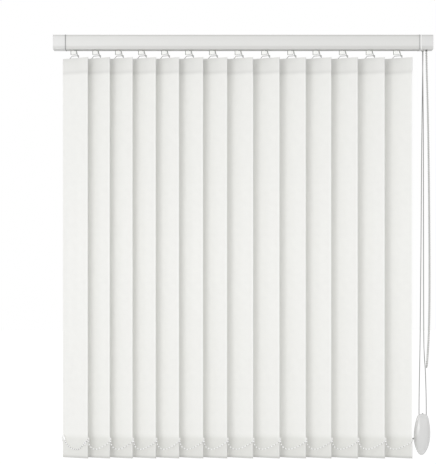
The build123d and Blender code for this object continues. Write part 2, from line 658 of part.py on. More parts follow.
def chain_strand(start, end):
    """One hanging length of chain, cut to its beaded outline in its own upright plane."""
    beads = hanging_points(start, end)
    side = (end - start).normalized()
    plane = Plane(origin=start, x_dir=side, z_dir=side.cross(Vector(0, 0, 1)))
    half_pitch = Vector(0, 0, BEAD_PITCH / 2)
    necks = [beads[0] + half_pitch]
    necks += [(before + after) / 2 for before, after in zip(beads, beads[1:])]
    necks.append(beads[-1] + half_pitch)
    near_edge, far_edge = [], []
    for index, bead in enumerate(beads):
        along = (necks[index + 1] - necks[index]).normalized()
        if index in (0, len(beads) - 1):
            along = Vector(0, 0, -1 if index == 0 else 1)
        across = plane.z_dir.cross(along)
        for place, width in ((necks[index], NECK_WIDTH), (bead, BEAD_WIDTH)):
            near_edge.append(place + across * width / 2)
            far_edge.append(place - across * width / 2)
    near_edge.append(necks[-1] + across * NECK_WIDTH / 2)
    far_edge.append(necks[-1] - across * NECK_WIDTH / 2)
    corners = [plane.to_local_coords(place) for place in near_edge + far_edge[::-1]]
    with BuildPart() as strand:
        with BuildSketch(plane):
            Polygon(*[(corner.X, corner.Y) for corner in corners], align=None)
        extrude(amount=BEAD_DEPTH / 2, both=True)
    return strand.part


# Bottom chains: one hangs from vane to vane along the near edges, one along the far edges
for name, side in (("front_chain", 1), ("rear_chain", -1)):
    hang = ALONG * side * EAR_CENTRE + Vector(0, -side * CHAIN_BOW, EAR_Z - ANCHOR_DROP)
    places = [hang + Vector(station, 0, 0) for station in STATIONS]
    strands = [chain_strand(before, after) for before, after in zip(places, places[1:])]
    with BuildPart() as bottom_chain:
        add(strands)
    export_node(name, bottom_chain.part)

# Spare end of the front chain, hung across the first vane from ear to ear, with its connector
ear_line = Vector(STATIONS[0], 0, EAR_Z)
tail_line = ear_line + FACE.z_dir * TAIL_BOW + Vector(0, 0, ANCHOR_DROP)
tail_strand = chain_strand(tail_line - ALONG * EAR_CENTRE, tail_line + ALONG * EAR_CENTRE)
connector_place = ear_line + FACE.z_dir * CONNECTOR_BOW - ALONG * EAR_CENTRE
with BuildPart() as chain_tail:
    add(tail_strand)
    with BuildSketch(Plane(origin=connector_place - Vector(0, 0, CONNECTOR_DROP), z_dir=(0, 0, 1))):
        turned(CONNECTOR_RADIUS)
    extrude(amount=CONNECTOR_HEIGHT)
export_node("chain_tail", chain_tail.part)


def corner_radii(points):
    """Radius of each bend of a route, as wide as the shorter of its two runs allows."""
    radii = []
    for before, corner, after in zip(points, points[1:], points[2:]):
        turn = (corner - before).get_angle(after - corner)
        shorter = min((corner - before).length, (after - corner).length)
        radii.append(BEND_SHARE * shorter / tan(radians(turn) / 2))
    return radii


def route_points(drifts, side, axis_y, top_reach, low_reach):
    """Points of one hanging run: its X at each height, and a Y that eases from reach to reach."""
    points = []
    top, low = drifts[0][0], drifts[-1][0]
    for height, inset in drifts:
        reach = top_reach + (low_reach - top_reach) * (height - top) / (low - top)
        points.append(Vector(HALF - inset, axis_y + side * reach, height))
    return points


# Tilt chain: an endless loop over the chain wheel, drawn as a tube as wide as its beads
chain_front = route_points(CHAIN_DRIFTS, -1, ROD_Y, CHAIN_WHEEL_PITCH_RADIUS, CHAIN_LOOP_HALF)
chain_rear = route_points(CHAIN_DRIFTS, 1, ROD_Y, CHAIN_WHEEL_PITCH_RADIUS, CHAIN_LOOP_HALF)
loop_side = 2 * CHAIN_LOOP_HALF / (1 + sqrt(2))
loop_low = CHAIN_DRIFTS[-1][0] - loop_side / sqrt(2)
loop_points = [Vector(CHAIN_LOOP_X, ROD_Y + side * loop_side / 2, loop_low) for side in (-1, 1)]
wheel_front = Vector(CHAIN_WHEEL_X, ROD_Y - CHAIN_WHEEL_PITCH_RADIUS, ROD_Z)
wheel_rear = Vector(CHAIN_WHEEL_X, ROD_Y + CHAIN_WHEEL_PITCH_RADIUS, ROD_Z)
chain_points = [wheel_front, *chain_front, *loop_points, *reversed(chain_rear), wheel_rear]
chain_radii = corner_radii(chain_points)
with BuildPart() as tilt_chain:
    with BuildLine() as chain_path:
        FilletPolyline(*chain_points, radius=chain_radii)
    chain_plane = Plane(origin=wheel_front, x_dir=(1, 0, 0), z_dir=chain_points[1] - wheel_front)
    with BuildSketch(chain_plane) as chain_section:
        RegularPolygon(TILT_CHAIN_DIAMETER / 2, CORD_SIDES)
    sweep(path=chain_path.wires()[0])
    with BuildLine() as wheel_path:
        ThreePointArc(wheel_front, (CHAIN_WHEEL_X, ROD_Y, ROD_Z + CHAIN_WHEEL_PITCH_RADIUS), wheel_rear)
    with BuildSketch(Plane(origin=wheel_front, x_dir=(1, 0, 0), z_dir=(0, 0, 1))):
        RegularPolygon(TILT_CHAIN_DIAMETER / 2, CORD_SIDES)
    sweep(path=wheel_path.wires()[0])
export_node("tilt_chain", tilt_chain.part)

# Traverse cord: the hanging loop down to the weight, and the run through the rail
guide_front = Vector(CORD_EXIT_X, -CORD_Y, GUIDE_Z)
guide_rear = Vector(CORD_EXIT_X, CORD_Y, GUIDE_Z)
weight_left = Vector(WEIGHT_X - WEIGHT_PITCH_RADIUS, 0, WEIGHT_PULLEY_Z)
weight_right = Vector(WEIGHT_X + WEIGHT_PITCH_RADIUS, 0, WEIGHT_PULLEY_Z)
front_points = [guide_front, *route_points(FRONT_DRIFTS, -1, 0, CORD_Y, 0), weight_left]
rear_points = [weight_right, *reversed(route_points(REAR_DRIFTS, 1, 0, CORD_Y, 0)), guide_rear]
front_radii = corner_radii(front_points)
rear_radii = corner_radii(rear_points)
with BuildPart() as traverse_cord:
    with BuildLine() as hanging_path:
        FilletPolyline(*front_points, radius=front_radii)
        ThreePointArc(weight_left, (WEIGHT_X, 0, WEIGHT_PULLEY_Z - WEIGHT_PITCH_RADIUS), weight_right)
        FilletPolyline(*rear_points, radius=rear_radii)
    cord_plane = Plane(origin=guide_front, x_dir=(1, 0, 0), z_dir=front_points[1] - guide_front)
    with BuildSketch(cord_plane) as cord_section:
        RegularPolygon(CORD_RADIUS, CORD_SIDES)
    sweep(path=hanging_path.wires()[0])
    with BuildLine() as rail_path:
        bend = GUIDE_PITCH_RADIUS * sqrt(1 / 2)
        front_top = (GUIDE_X, -CORD_Y, CORD_Z)
        rear_top = (GUIDE_X, CORD_Y, CORD_Z)
        ThreePointArc(guide_front, (GUIDE_X + bend, -CORD_Y, GUIDE_Z + bend), front_top)
        Line(front_top, (RETURN_X, -CORD_Y, CORD_Z))
        ThreePointArc((RETURN_X, -CORD_Y, CORD_Z), (RETURN_X - CORD_Y, 0, CORD_Z), (RETURN_X, CORD_Y, CORD_Z))
        Line((RETURN_X, CORD_Y, CORD_Z), rear_top)
        ThreePointArc(rear_top, (GUIDE_X + bend, CORD_Y, GUIDE_Z + bend), guide_rear)
    with BuildSketch(Plane(origin=guide_front, x_dir=(1, 0, 0), z_dir=(0, 0, 1))):
        RegularPolygon(CORD_RADIUS, CORD_SIDES)
    sweep(path=rail_path.wires()[0])
export_node("traverse_cord", traverse_cord.part)

for name, radii in (
    ("tilt chain", chain_radii),
    ("cord, front run", front_radii),
    ("cord, rear run", rear_radii),
):
    print(name, "bend radii in mm:", [round(radius, 1) for radius in radii])
for name, tube, section, paths in (
    ("tilt chain", tilt_chain, chain_section, (chain_path, wheel_path)),
    ("traverse cord", traverse_cord, cord_section, (hanging_path, rail_path)),
):
    length = sum(path.wires()[0].length for path in paths)
    share = tube.part.volume / (section.sketch.area * length)
    print(f"{name}: length {length:.0f} mm, volume over section times length {share:.4f}")

# Cord weight: two domed mouldings around a pulley on a cross pin
lean = radians(WEIGHT_LEAN)
pulley_plane = Plane(origin=(WEIGHT_X, 0, WEIGHT_PULLEY_Z), z_dir=(0, 1, 0))
for side, name in ((-1, "weight_shell_front"), (1, "weight_shell_rear")):
    joint_plane = Plane(
        origin=(WEIGHT_X, 0, WEIGHT_TOP),
        x_dir=(-side * cos(lean), 0, side * sin(lean)),
        z_dir=(0, side, 0),
    )
    with BuildPart() as weight_shell:
        with BuildSketch(joint_plane):
            edge = [(half_width, -drop) for drop, half_width in WEIGHT_OUTLINE]
            Polygon(*edge, *[(-across, down) for across, down in reversed(edge)], align=None)
        extrude(amount=WEIGHT_RIM_DEPTH, taper=WEIGHT_RIM_TAPER)
        dome_base = faces().sort_by(Axis.Y)[-1 if side > 0 else 0]
        extrude(dome_base, amount=WEIGHT_DOME_DEPTH, taper=WEIGHT_DOME_TAPER)
        with BuildSketch(pulley_plane):
            RegularPolygon(WEIGHT_PITCH_RADIUS + PULLEY_RIM + WEIGHT_ROOM, PULLEY_SIDES)
        extrude(amount=WEIGHT_PULLEY_WIDTH / 2 + WEIGHT_ROOM, both=True, mode=Mode.SUBTRACT)
        with BuildSketch(Plane.XY.offset(WEIGHT_PULLEY_Z)):
            for run in (-1, 1):
                with Locations((WEIGHT_X + run * WEIGHT_PITCH_RADIUS, 0)):
                    Rectangle(WEIGHT_CHANNEL, WEIGHT_CHANNEL)
        extrude(amount=2 * WEIGHT_PULLEY_DROP, mode=Mode.SUBTRACT)
        with BuildSketch(pulley_plane):
            turned(AXLE_RADIUS)
        extrude(amount=WEIGHT_PIN_HALF, both=True, mode=Mode.SUBTRACT)
    export_node(name, weight_shell.part)
export_node("weight_pulley", grooved_pulley(pulley_plane, WEIGHT_PITCH_RADIUS, WEIGHT_PULLEY_WIDTH))
with BuildPart() as weight_pin:
    with BuildSketch(pulley_plane):
        turned(AXLE_RADIUS)
    extrude(amount=WEIGHT_PIN_HALF, both=True)
export_node("weight_pin", weight_pin.part)
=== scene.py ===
import json
import logging
import math
from collections.abc import Callable, Iterable
from dataclasses import dataclass
from enum import Enum

import bpy
from mathutils import Matrix, Vector


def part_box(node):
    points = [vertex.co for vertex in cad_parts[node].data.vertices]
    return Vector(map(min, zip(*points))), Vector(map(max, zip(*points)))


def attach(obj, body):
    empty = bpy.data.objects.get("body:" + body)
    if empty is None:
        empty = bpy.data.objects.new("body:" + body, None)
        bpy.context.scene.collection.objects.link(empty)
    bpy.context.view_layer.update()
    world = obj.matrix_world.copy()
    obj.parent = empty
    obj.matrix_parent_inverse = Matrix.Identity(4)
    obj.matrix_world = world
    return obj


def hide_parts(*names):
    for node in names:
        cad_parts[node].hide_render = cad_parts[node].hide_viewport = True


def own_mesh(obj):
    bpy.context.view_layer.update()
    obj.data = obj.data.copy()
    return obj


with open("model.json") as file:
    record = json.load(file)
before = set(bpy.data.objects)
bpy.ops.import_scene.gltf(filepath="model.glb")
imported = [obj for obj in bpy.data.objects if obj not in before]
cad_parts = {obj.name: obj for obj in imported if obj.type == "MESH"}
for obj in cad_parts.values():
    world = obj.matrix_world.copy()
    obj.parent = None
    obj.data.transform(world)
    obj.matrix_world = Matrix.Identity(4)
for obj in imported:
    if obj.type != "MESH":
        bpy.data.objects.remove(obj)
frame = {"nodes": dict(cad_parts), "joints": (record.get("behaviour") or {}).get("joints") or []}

# A vertical blind in its studio: painted headrail, woven vanes on clear hooks, bead chains, a
# braided draw cord and its moulded weight. Sizes are in metres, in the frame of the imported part.

LOG = logging.getLogger("vertical_blind")
MM = 0.001
WAVE_PERIOD = math.pi / 10
UP = Vector((0, 0, 1))
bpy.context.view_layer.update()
IMAGE_WIDTH = 436
IMAGE_HEIGHT = 464


class Pattern(Enum):
    """How the fine surface of a material is laid out."""

    GRAIN = "grain"
    BRUSHED = "brushed"
    WOVEN = "woven"
    BRAIDED = "braided"


def linear(colour: str) -> tuple[float, float, float, float]:
    """Turn an sRGB colour to linear values.

    Args:
        colour: the colour as a hash and six hex digits.

    Returns:
        Linear red, green, blue and an alpha of 1.
    """
    values = [int(colour[place : place + 2], 16) / 255 for place in (1, 3, 5)]
    red, green, blue = [v / 12.92 if v <= 0.04045 else ((v + 0.055) / 1.055) ** 2.4 for v in values]
    return (red, green, blue, 1.0)


def add_node(
    tree: bpy.types.NodeTree, kind: str, settings: dict | None = None, links: dict | None = None
) -> bpy.types.Node:
    """Add a node with its settings and links.

    Args:
        tree: the node tree that gets the node.
        kind: Blender's name of the node type.
        settings: socket values by socket name or number, and node properties by name.
        links: the sockets that feed the node, by input name or number.

    Returns:
        The new node.
    """
    node = tree.nodes.new(kind)
    for key, value in (settings or {}).items():
        if isinstance(key, int) or key in node.inputs:
            node.inputs[key].default_value = value
        else:
            setattr(node, key, value)
    for key, source in (links or {}).items():
        tree.links.new(source, node.inputs[key])
    return node


def add_ramp(
    tree: bpy.types.NodeTree, value: bpy.types.NodeSocket, stops: Iterable[tuple[float, str]]
) -> bpy.types.NodeSocket:
    """Add a colour ramp.

    Args:
        tree: the node tree that gets the ramp.
        value: the socket that picks the colour.
        stops: place, from 0 to 1, and sRGB colour of each stop, in order.

    Returns:
        The colour that the ramp gives.
    """
    ramp = add_node(tree, "ShaderNodeValToRGB", links={"Fac": value})
    elements = ramp.color_ramp.elements
    places = list(stops)
    elements[0].position, elements[0].color = places[0][0], linear(places[0][1])
    elements[1].position, elements[1].color = places[-1][0], linear(places[-1][1])
    for place, colour in places[1:-1]:
        elements.new(place).color = linear(colour)
    return ramp.outputs["Color"]


def multiplied(
    tree: bpy.types.NodeTree, first: bpy.types.NodeSocket, second: bpy.types.NodeSocket
) -> bpy.types.NodeSocket:
    """Multiply two colours, and return the socket that gives the result."""
    settings = {"data_type": "RGBA", "blend_type": "MULTIPLY", 0: 1.0}
    return add_node(tree, "ShaderNodeMix", settings, {6: first, 7: second}).outputs[2]


@dataclass(frozen=True)
class Finish:
    """What one real material gives to the eye.

    Attributes:
        name: the material's maker's name.
        colour: main colour, sRGB hex.
        shade: colour of its darker grains or threads, sRGB hex.
        roughness: mean roughness.
        pitch_mm: size of a grain, or the spacing of threads.
        relief_mm: height of the fine pattern.
        pattern: how the fine pattern is laid out.
        metallic: 1 for bare metal.
        coat: weight of a clear gloss on top.
        sheen: weight of the soft edge light of fibres.
        scatter: share of light that passes into the plastic and out again.
        clear: share of light that passes straight through.
    """

    name: str
    colour: str
    shade: str
    roughness: float
    pitch_mm: float
    relief_mm: float
    pattern: Pattern = Pattern.GRAIN
    metallic: float = 0.0
    coat: float = 0.0
    sheen: float = 0.0
    scatter: float = 0.0
    clear: float = 0.0

    def make(self) -> bpy.types.Material:
        """Build the material.

        Returns:
            The material, with its pattern in colour, roughness and bump.
        """
        material = bpy.data.materials.new(self.name)
        material.use_nodes = True
        tree = material.node_tree
        shader = tree.nodes["Principled BSDF"]
        shader.inputs["Metallic"].default_value = self.metallic
        shader.inputs["Coat Weight"].default_value = self.coat
        shader.inputs["Coat Roughness"].default_value = 0.12
        shader.inputs["Sheen Weight"].default_value = self.sheen
        shader.inputs["Subsurface Weight"].default_value = self.scatter
        shader.inputs["Subsurface Scale"].default_value = 2 * MM
        shader.inputs["Transmission Weight"].default_value = self.clear
        texture = self.pattern_socket(tree)
        colour = add_ramp(tree, texture, ((0.2, self.shade), (0.8, self.colour)))
        tree.links.new(self.tinted(tree, colour), shader.inputs["Base Color"])
        span = {"To Min": self.roughness * 0.9, "To Max": self.roughness * 1.1}
        rough = add_node(tree, "ShaderNodeMapRange", span, {"Value": texture})
        tree.links.new(rough.outputs["Result"], shader.inputs["Roughness"])
        relief = {"Strength": 0.6, "Distance": self.relief_mm * MM}
        bump = add_node(tree, "ShaderNodeBump", relief, {"Height": texture})
        tree.links.new(bump.outputs["Normal"], shader.inputs["Normal"])
        return material

    def pattern_socket(self, tree: bpy.types.NodeTree) -> bpy.types.NodeSocket:
        """Lay out the fine pattern.

        Args:
            tree: the material's node tree.

        Returns:
            The socket that gives the pattern, from 0 to 1.
        """
        place = add_node(tree, "ShaderNodeTexCoord")
        pitch = self.pitch_mm * MM
        if self.pattern in (Pattern.GRAIN, Pattern.BRUSHED):
            stretch = (0.03, 1, 1) if self.pattern is Pattern.BRUSHED else (1, 1, 1)
            source = add_node(tree, "ShaderNodeMapping", {"Scale": stretch}, {"Vector": place.outputs["Object"]})
            grain = {"Scale": 1 / pitch, "Detail": 3.0, "Roughness": 0.55}
            noise = add_node(tree, "ShaderNodeTexNoise", grain, {"Vector": source.outputs["Vector"]})
            return noise.outputs["Fac"]
        turn = math.radians(45) if self.pattern is Pattern.BRAIDED else 0.0
        source = add_node(tree, "ShaderNodeMapping", {"Rotation": (0, 0, turn)}, {"Vector": place.outputs["UV"]})
        threads = []
        for direction, spacing in (("X", pitch), ("Y", pitch * 0.55)):
            band = {"bands_direction": direction, "Scale": WAVE_PERIOD / spacing, "Distortion": 0.4, "Detail": 1.0}
            wave = add_node(tree, "ShaderNodeTexWave", band, {"Vector": source.outputs["Vector"]})
            threads.append(wave.outputs["Fac"])
        slub = add_node(tree, "ShaderNodeTexNoise", {"Scale": 1 / (9 * pitch)}, {"Vector": source.outputs["Vector"]})
        weave = add_node(tree, "ShaderNodeMath", {"operation": "MULTIPLY", 1: 0.35}, {0: threads[1]})
        ribs = add_node(tree, "ShaderNodeMath", {"operation": "MULTIPLY", 1: 0.4}, {0: threads[0]})
        both = add_node(tree, "ShaderNodeMath", {}, {0: weave.outputs[0], 1: ribs.outputs[0]})
        soft = add_node(tree, "ShaderNodeMath", {"operation": "MULTIPLY", 1: 0.4}, {0: slub.outputs["Fac"]})
        total = add_node(tree, "ShaderNodeMath", {"use_clamp": True}, {0: both.outputs[0], 1: soft.outputs[0]})
        return total.outputs[0]

    def tinted(self, tree: bpy.types.NodeTree, colour: bpy.types.NodeSocket) -> bpy.types.NodeSocket:
        """Let a finish add its own large changes of colour.

        Args:
            tree: the material's node tree.
            colour: the colour of the fine pattern.

        Returns:
            The colour that the shader gets.
        """
        return colour


@dataclass(frozen=True)
class RailPaint(Finish):
    """Paint of the rail and caps, with bands of painted shade along its top and lower edges.

    Attributes:
        top_edge_shade: painted shade along the top edge, sRGB hex.
        low_edge_shade: painted shade along the lower edge, sRGB hex.
        edge_mm: height of the band of painted shade at the top edge.
        height_mm: height of the rail.
    """

    top_edge_shade: str = "#EAEAE9"
    low_edge_shade: str = "#F0F0EF"
    edge_mm: float = 3.8
    height_mm: float = 42.0

    def tinted(self, tree: bpy.types.NodeTree, colour: bpy.types.NodeSocket) -> bpy.types.NodeSocket:
        """Multiply the paint by bands of painted shade along the top and lower edges of the rail."""
        place = add_node(tree, "ShaderNodeTexCoord")
        parts = add_node(tree, "ShaderNodeSeparateXYZ", {}, {"Vector": place.outputs["Object"]})
        scale = {"operation": "DIVIDE", 1: -self.height_mm * MM}
        down = add_node(tree, "ShaderNodeMath", scale, {0: parts.outputs["Z"]})
        edge = self.edge_mm / self.height_mm
        # Painted shade: darker bands along the top and lower edges, lighter in between.
        stops = [(0.0, self.top_edge_shade), (edge, self.top_edge_shade), (edge + 0.03, "#FAFAFA"), (0.5, "#FFFFFF")]
        stops += [(0.72, "#FFFFFF"), (0.84, self.low_edge_shade), (1.0, self.low_edge_shade)]
        return multiplied(tree, colour, add_ramp(tree, down.outputs[0], stops))


@dataclass(frozen=True)
class VaneCloth(Finish):
    """Woven vane cloth, with a painted highlight along its near edge, painted shade on its two folds, and bands that
    are a little darker over its pockets than mid-face.

    Attributes:
        plain: tint of the cloth away from the painted highlight on its near edge, sRGB hex.
        fold: painted shade on the top and bottom folds, sRGB hex.
        width_mm: width of the vane.
        fold_mm: top fold, measured along the strip of cloth.
        top_seam_mm: top seam, measured along the strip.
        low_seam_mm: bottom seam, measured along the strip.
        hem_mm: bottom fold, measured along the strip.
    """

    plain: str = "#FAFAF9"
    fold: str = "#D6D6D4"
    width_mm: float = 89.0
    fold_mm: float = 0.0
    top_seam_mm: float = 0.0
    low_seam_mm: float = 0.0
    hem_mm: float = 0.0

    def tinted(self, tree: bpy.types.NodeTree, colour: bpy.types.NodeSocket) -> bpy.types.NodeSocket:
        """Multiply the weave by bands down the strip, with painted shade on the folds, and by a painted highlight along
        the near edge.
        """
        place = add_node(tree, "ShaderNodeTexCoord")
        parts = add_node(tree, "ShaderNodeSeparateXYZ", {}, {"Vector": place.outputs["UV"]})
        down = add_node(tree, "ShaderNodeMath", {"operation": "DIVIDE", 1: 2.0}, {0: parts.outputs["Y"]})
        # Bands down the strip: painted shade on the top and bottom folds, a darker seam line, and the pockets a little
        # darker than mid-face.
        bands = [
            (0.0, "#F4F4F3"),
            (self.fold_mm - 1, "#F4F4F3"),
            (self.fold_mm, self.fold),
            (self.fold_mm + 2.6, self.fold),
            (self.fold_mm + 4, "#F4F4F3"),
            (self.top_seam_mm - 1, "#F4F4F3"),
            (self.top_seam_mm, "#EDEDEC"),
            (self.top_seam_mm + 2, "#FBFBFA"),
            ((self.top_seam_mm + self.low_seam_mm) / 2, "#FFFFFE"),
            (self.low_seam_mm - 3, "#FFFFFE"),
            (self.low_seam_mm + 2, "#F5F5F3"),
            (self.hem_mm - 6, "#F1F1EF"),
            (self.hem_mm - 4, self.fold),
            (self.hem_mm + 1, self.fold),
            (self.hem_mm + 2, "#F4F4F3"),
            (2 / MM, "#F4F4F3"),
        ]
        strip = add_ramp(tree, down.outputs[0], [(place_mm * MM / 2, tint) for place_mm, tint in bands])
        across = {"operation": "DIVIDE", 1: self.width_mm * MM}
        edge = add_node(tree, "ShaderNodeMath", across, {0: parts.outputs["X"]})
        # Painted highlight: the near edge of the vane is lighter than the rest of the cloth.
        rim = add_ramp(tree, edge.outputs[0], [(0.0, self.plain), (0.955, self.plain), (0.968, "#FFFFFF"), (1.0, "#FFFFFF")])
        return multiplied(tree, multiplied(tree, colour, strip), rim)


class Shop:
    """The hand tools that every piece is made with."""

    @staticmethod
    def only(piece: bpy.types.Object) -> None:
        """Make a piece the only one selected, and active."""
        bpy.ops.object.select_all(action="DESELECT")
        piece.select_set(True)
        bpy.context.view_layer.objects.active = piece

    @staticmethod
    def block(size: tuple[float, float, float], centre: tuple[float, float, float]) -> bpy.types.Object:
        """Add a block.

        Args:
            size: its width, depth and height in millimetres.
            centre: its middle in millimetres.

        Returns:
            The block, with its size in its mesh.
        """
        bpy.ops.object.select_all(action="DESELECT")
        bpy.ops.mesh.primitive_cube_add(size=1, location=[c * MM for c in centre], scale=[s * MM for s in size])
        bpy.ops.object.transform_apply(location=True, rotation=True, scale=True)
        return bpy.context.active_object

    @staticmethod
    def rod(
        radius: float, length: float, centre: tuple[float, float, float], turn: tuple[float, float, float] = (0, 0, 0), sides: int = 24
    ) -> bpy.types.Object:
        """Add a round bar.

        Args:
            radius: its radius in millimetres.
            length: its length in millimetres.
            centre: its middle in millimetres.
            turn: its turn from upright, in degrees.
            sides: number of flats round it.

        Returns:
            The bar, with its size in its mesh.
        """
        bpy.ops.object.select_all(action="DESELECT")
        bpy.ops.mesh.primitive_cylinder_add(
            vertices=sides,
            radius=radius * MM,
            depth=length * MM,
            location=[c * MM for c in centre],
            rotation=[math.radians(angle) for angle in turn],
        )
        bpy.ops.object.transform_apply(location=True, rotation=True, scale=True)
        return bpy.context.active_object

    @staticmethod
    def on_faces(piece: bpy.types.Object, test: Callable, operator: Callable, **settings) -> None:
        """Run one edit-mode operator on some faces.

        Args:
            piece: the piece to shape.
            test: says of a face whether it is taken.
            operator: the operator from bpy.ops.
            settings: the operator's own settings.
        """
        Shop.only(piece)
        bpy.ops.object.mode_set(mode="EDIT")
        bpy.ops.mesh.select_mode(type="FACE")
        bpy.ops.mesh.select_all(action="DESELECT")
        bpy.ops.object.mode_set(mode="OBJECT")
        for face in piece.data.polygons:
            face.select = bool(test(face))
        bpy.ops.object.mode_set(mode="EDIT")
        operator(**settings)
        bpy.ops.object.mode_set(mode="OBJECT")

    @staticmethod
    def modify(piece: bpy.types.Object, kind: str, **settings) -> None:
        """Add a modifier and apply it.

        Args:
            piece: the piece that gets it.
            kind: Blender's name of the modifier type.
            settings: the modifier's own settings.
        """
        Shop.only(piece)
        modifier = piece.modifiers.new(kind.title(), kind)
        for name, value in settings.items():
            setattr(modifier, name, value)
        bpy.ops.object.modifier_apply(modifier=modifier.name)

    @staticmethod
    def soften(piece: bpy.types.Object, radius: float, segments: int = 2) -> None:
        """Round the sharp edges of a piece by a radius in millimetres."""
        Shop.modify(piece, "BEVEL", width=radius * MM, segments=segments, limit_method="ANGLE")

    @staticmethod
    def smooth(piece: bpy.types.Object, angle: float = 35) -> None:
        """Shade a piece smooth, but for edges sharper than an angle in degrees."""
        Shop.only(piece)
        bpy.ops.object.shade_smooth_by_angle(angle=math.radians(angle))

    @staticmethod
    def join(pieces: list[bpy.types.Object]) -> bpy.types.Object:
        """Join pieces into the first of them, and return it."""
        Shop.only(pieces[0])
        for piece in pieces[1:]:
            piece.select_set(True)
        bpy.ops.object.join()
        return bpy.context.active_object

    @staticmethod
    def outward(piece: bpy.types.Object) -> None:
        """Merge doubles and turn every face outwards."""
        Shop.only(piece)
        bpy.ops.object.mode_set(mode="EDIT")
        bpy.ops.mesh.select_all(action="SELECT")
        bpy.ops.mesh.remove_doubles(threshold=0.001 * MM)
        bpy.ops.mesh.normals_make_consistent(inside=False)
        bpy.ops.object.mode_set(mode="OBJECT")

    @staticmethod
    def copy(piece: bpy.types.Object, name: str, matrix: Matrix) -> bpy.types.Object:
        """Copy a piece with its own mesh.

        Args:
            piece: the piece to copy.
            name: the copy's name.
            matrix: where the copy goes.

        Returns:
            The copy, at the origin, with its place in its mesh.
        """
        twin = piece.copy()
        twin.data = piece.data.copy()
        twin.name = name
        twin.data.name = name
        twin.data.transform(matrix)
        bpy.context.scene.collection.objects.link(twin)
        return twin

    @staticmethod
    def lean(piece: bpy.types.Object, top: float, bottom: float) -> None:
        """Move the upper and lower half of a piece sideways, each by its own millimetres along X."""
        heights = [vertex.co.z for vertex in piece.data.vertices]
        middle = (min(heights) + max(heights)) / 2
        for vertex in piece.data.vertices:
            vertex.co.x += (top if vertex.co.z > middle else bottom) * MM

    @staticmethod
    def finish(material: bpy.types.Material, pieces: Iterable[bpy.types.Object]) -> None:
        """Give the same finish to several pieces."""
        for piece in pieces:
            piece.data.materials.clear()
            piece.data.materials.append(material)

    @staticmethod
    def settle(
        piece: bpy.types.Object,
        name: str,
        material: bpy.types.Material | None,
        body: str,
        slot: str,
        nodes: Iterable[str] = (),
    ) -> bpy.types.Object:
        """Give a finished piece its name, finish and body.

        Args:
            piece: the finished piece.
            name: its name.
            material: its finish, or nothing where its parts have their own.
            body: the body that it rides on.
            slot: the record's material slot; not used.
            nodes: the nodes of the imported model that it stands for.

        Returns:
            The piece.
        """
        piece.name = name
        piece.data.name = name
        if material:
            Shop.finish(material, [piece])
        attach(piece, body)
        if nodes:
            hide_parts(*nodes)
        return piece

    @staticmethod
    def dress(node: str, material: bpy.types.Material) -> None:
        """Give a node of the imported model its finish."""
        piece = frame["nodes"][node]
        piece.data.materials.clear()
        piece.data.materials.append(material)

    @staticmethod
    def report(piece: bpy.types.Object) -> None:
        """Say what a piece holds."""
        LOG.info("%s: %d faces", piece.name, len(piece.data.polygons))


@dataclass
class Route:
    """The line that a cord or chain follows.

    Attributes:
        points: control points of the line, in millimetres.
    """

    points: list[Vector]

    def trace(self, resolution: int = 12) -> list[Vector]:
        """Read points from the smooth line.

        Args:
            resolution: points read for each control point.

        Returns:
            Points along the line, in metres, in order.
        """
        curve = bpy.data.curves.new("route", "CURVE")
        curve.dimensions = "3D"
        curve.resolution_u = resolution
        spline = curve.splines.new("NURBS")
        spline.points.add(len(self.points) - 1)
        for control, place in zip(spline.points, self.points):
            control.co = (*(Vector(place) * MM), 1.0)
        spline.order_u = 3
        spline.use_endpoint_u = True
        carrier = bpy.data.objects.new("route", curve)
        bpy.context.scene.collection.objects.link(carrier)
        mesh = bpy.data.meshes.new_from_object(carrier)
        places = [vertex.co.copy() for vertex in mesh.vertices]
        bpy.data.objects.remove(carrier)
        bpy.data.curves.remove(curve)
        bpy.data.meshes.remove(mesh)
        return places

    @staticmethod
    def length(places: list[Vector]) -> float:
        """Length of a traced line, in metres."""
        return sum((after - before).length for before, after in zip(places, places[1:]))

    @staticmethod
    def spaced(places: list[Vector], pitch: float, start: float = 0.0) -> list[tuple[Vector, Vector]]:
        """Find evenly spaced places on a traced line.

        Args:
            places: the traced line.
            pitch: the spacing in metres.
            start: how far along the first place lies, in metres.

        Returns:
            Each place with the line's direction there.
        """
        found = []
        walked, target = 0.0, start
        for before, after in zip(places, places[1:]):
            step = (after - before).length
            while target <= walked + step and step > 0:
                found.append((before.lerp(after, (target - walked) / step), (after - before).normalized()))
                target += pitch
            walked += step
        return found


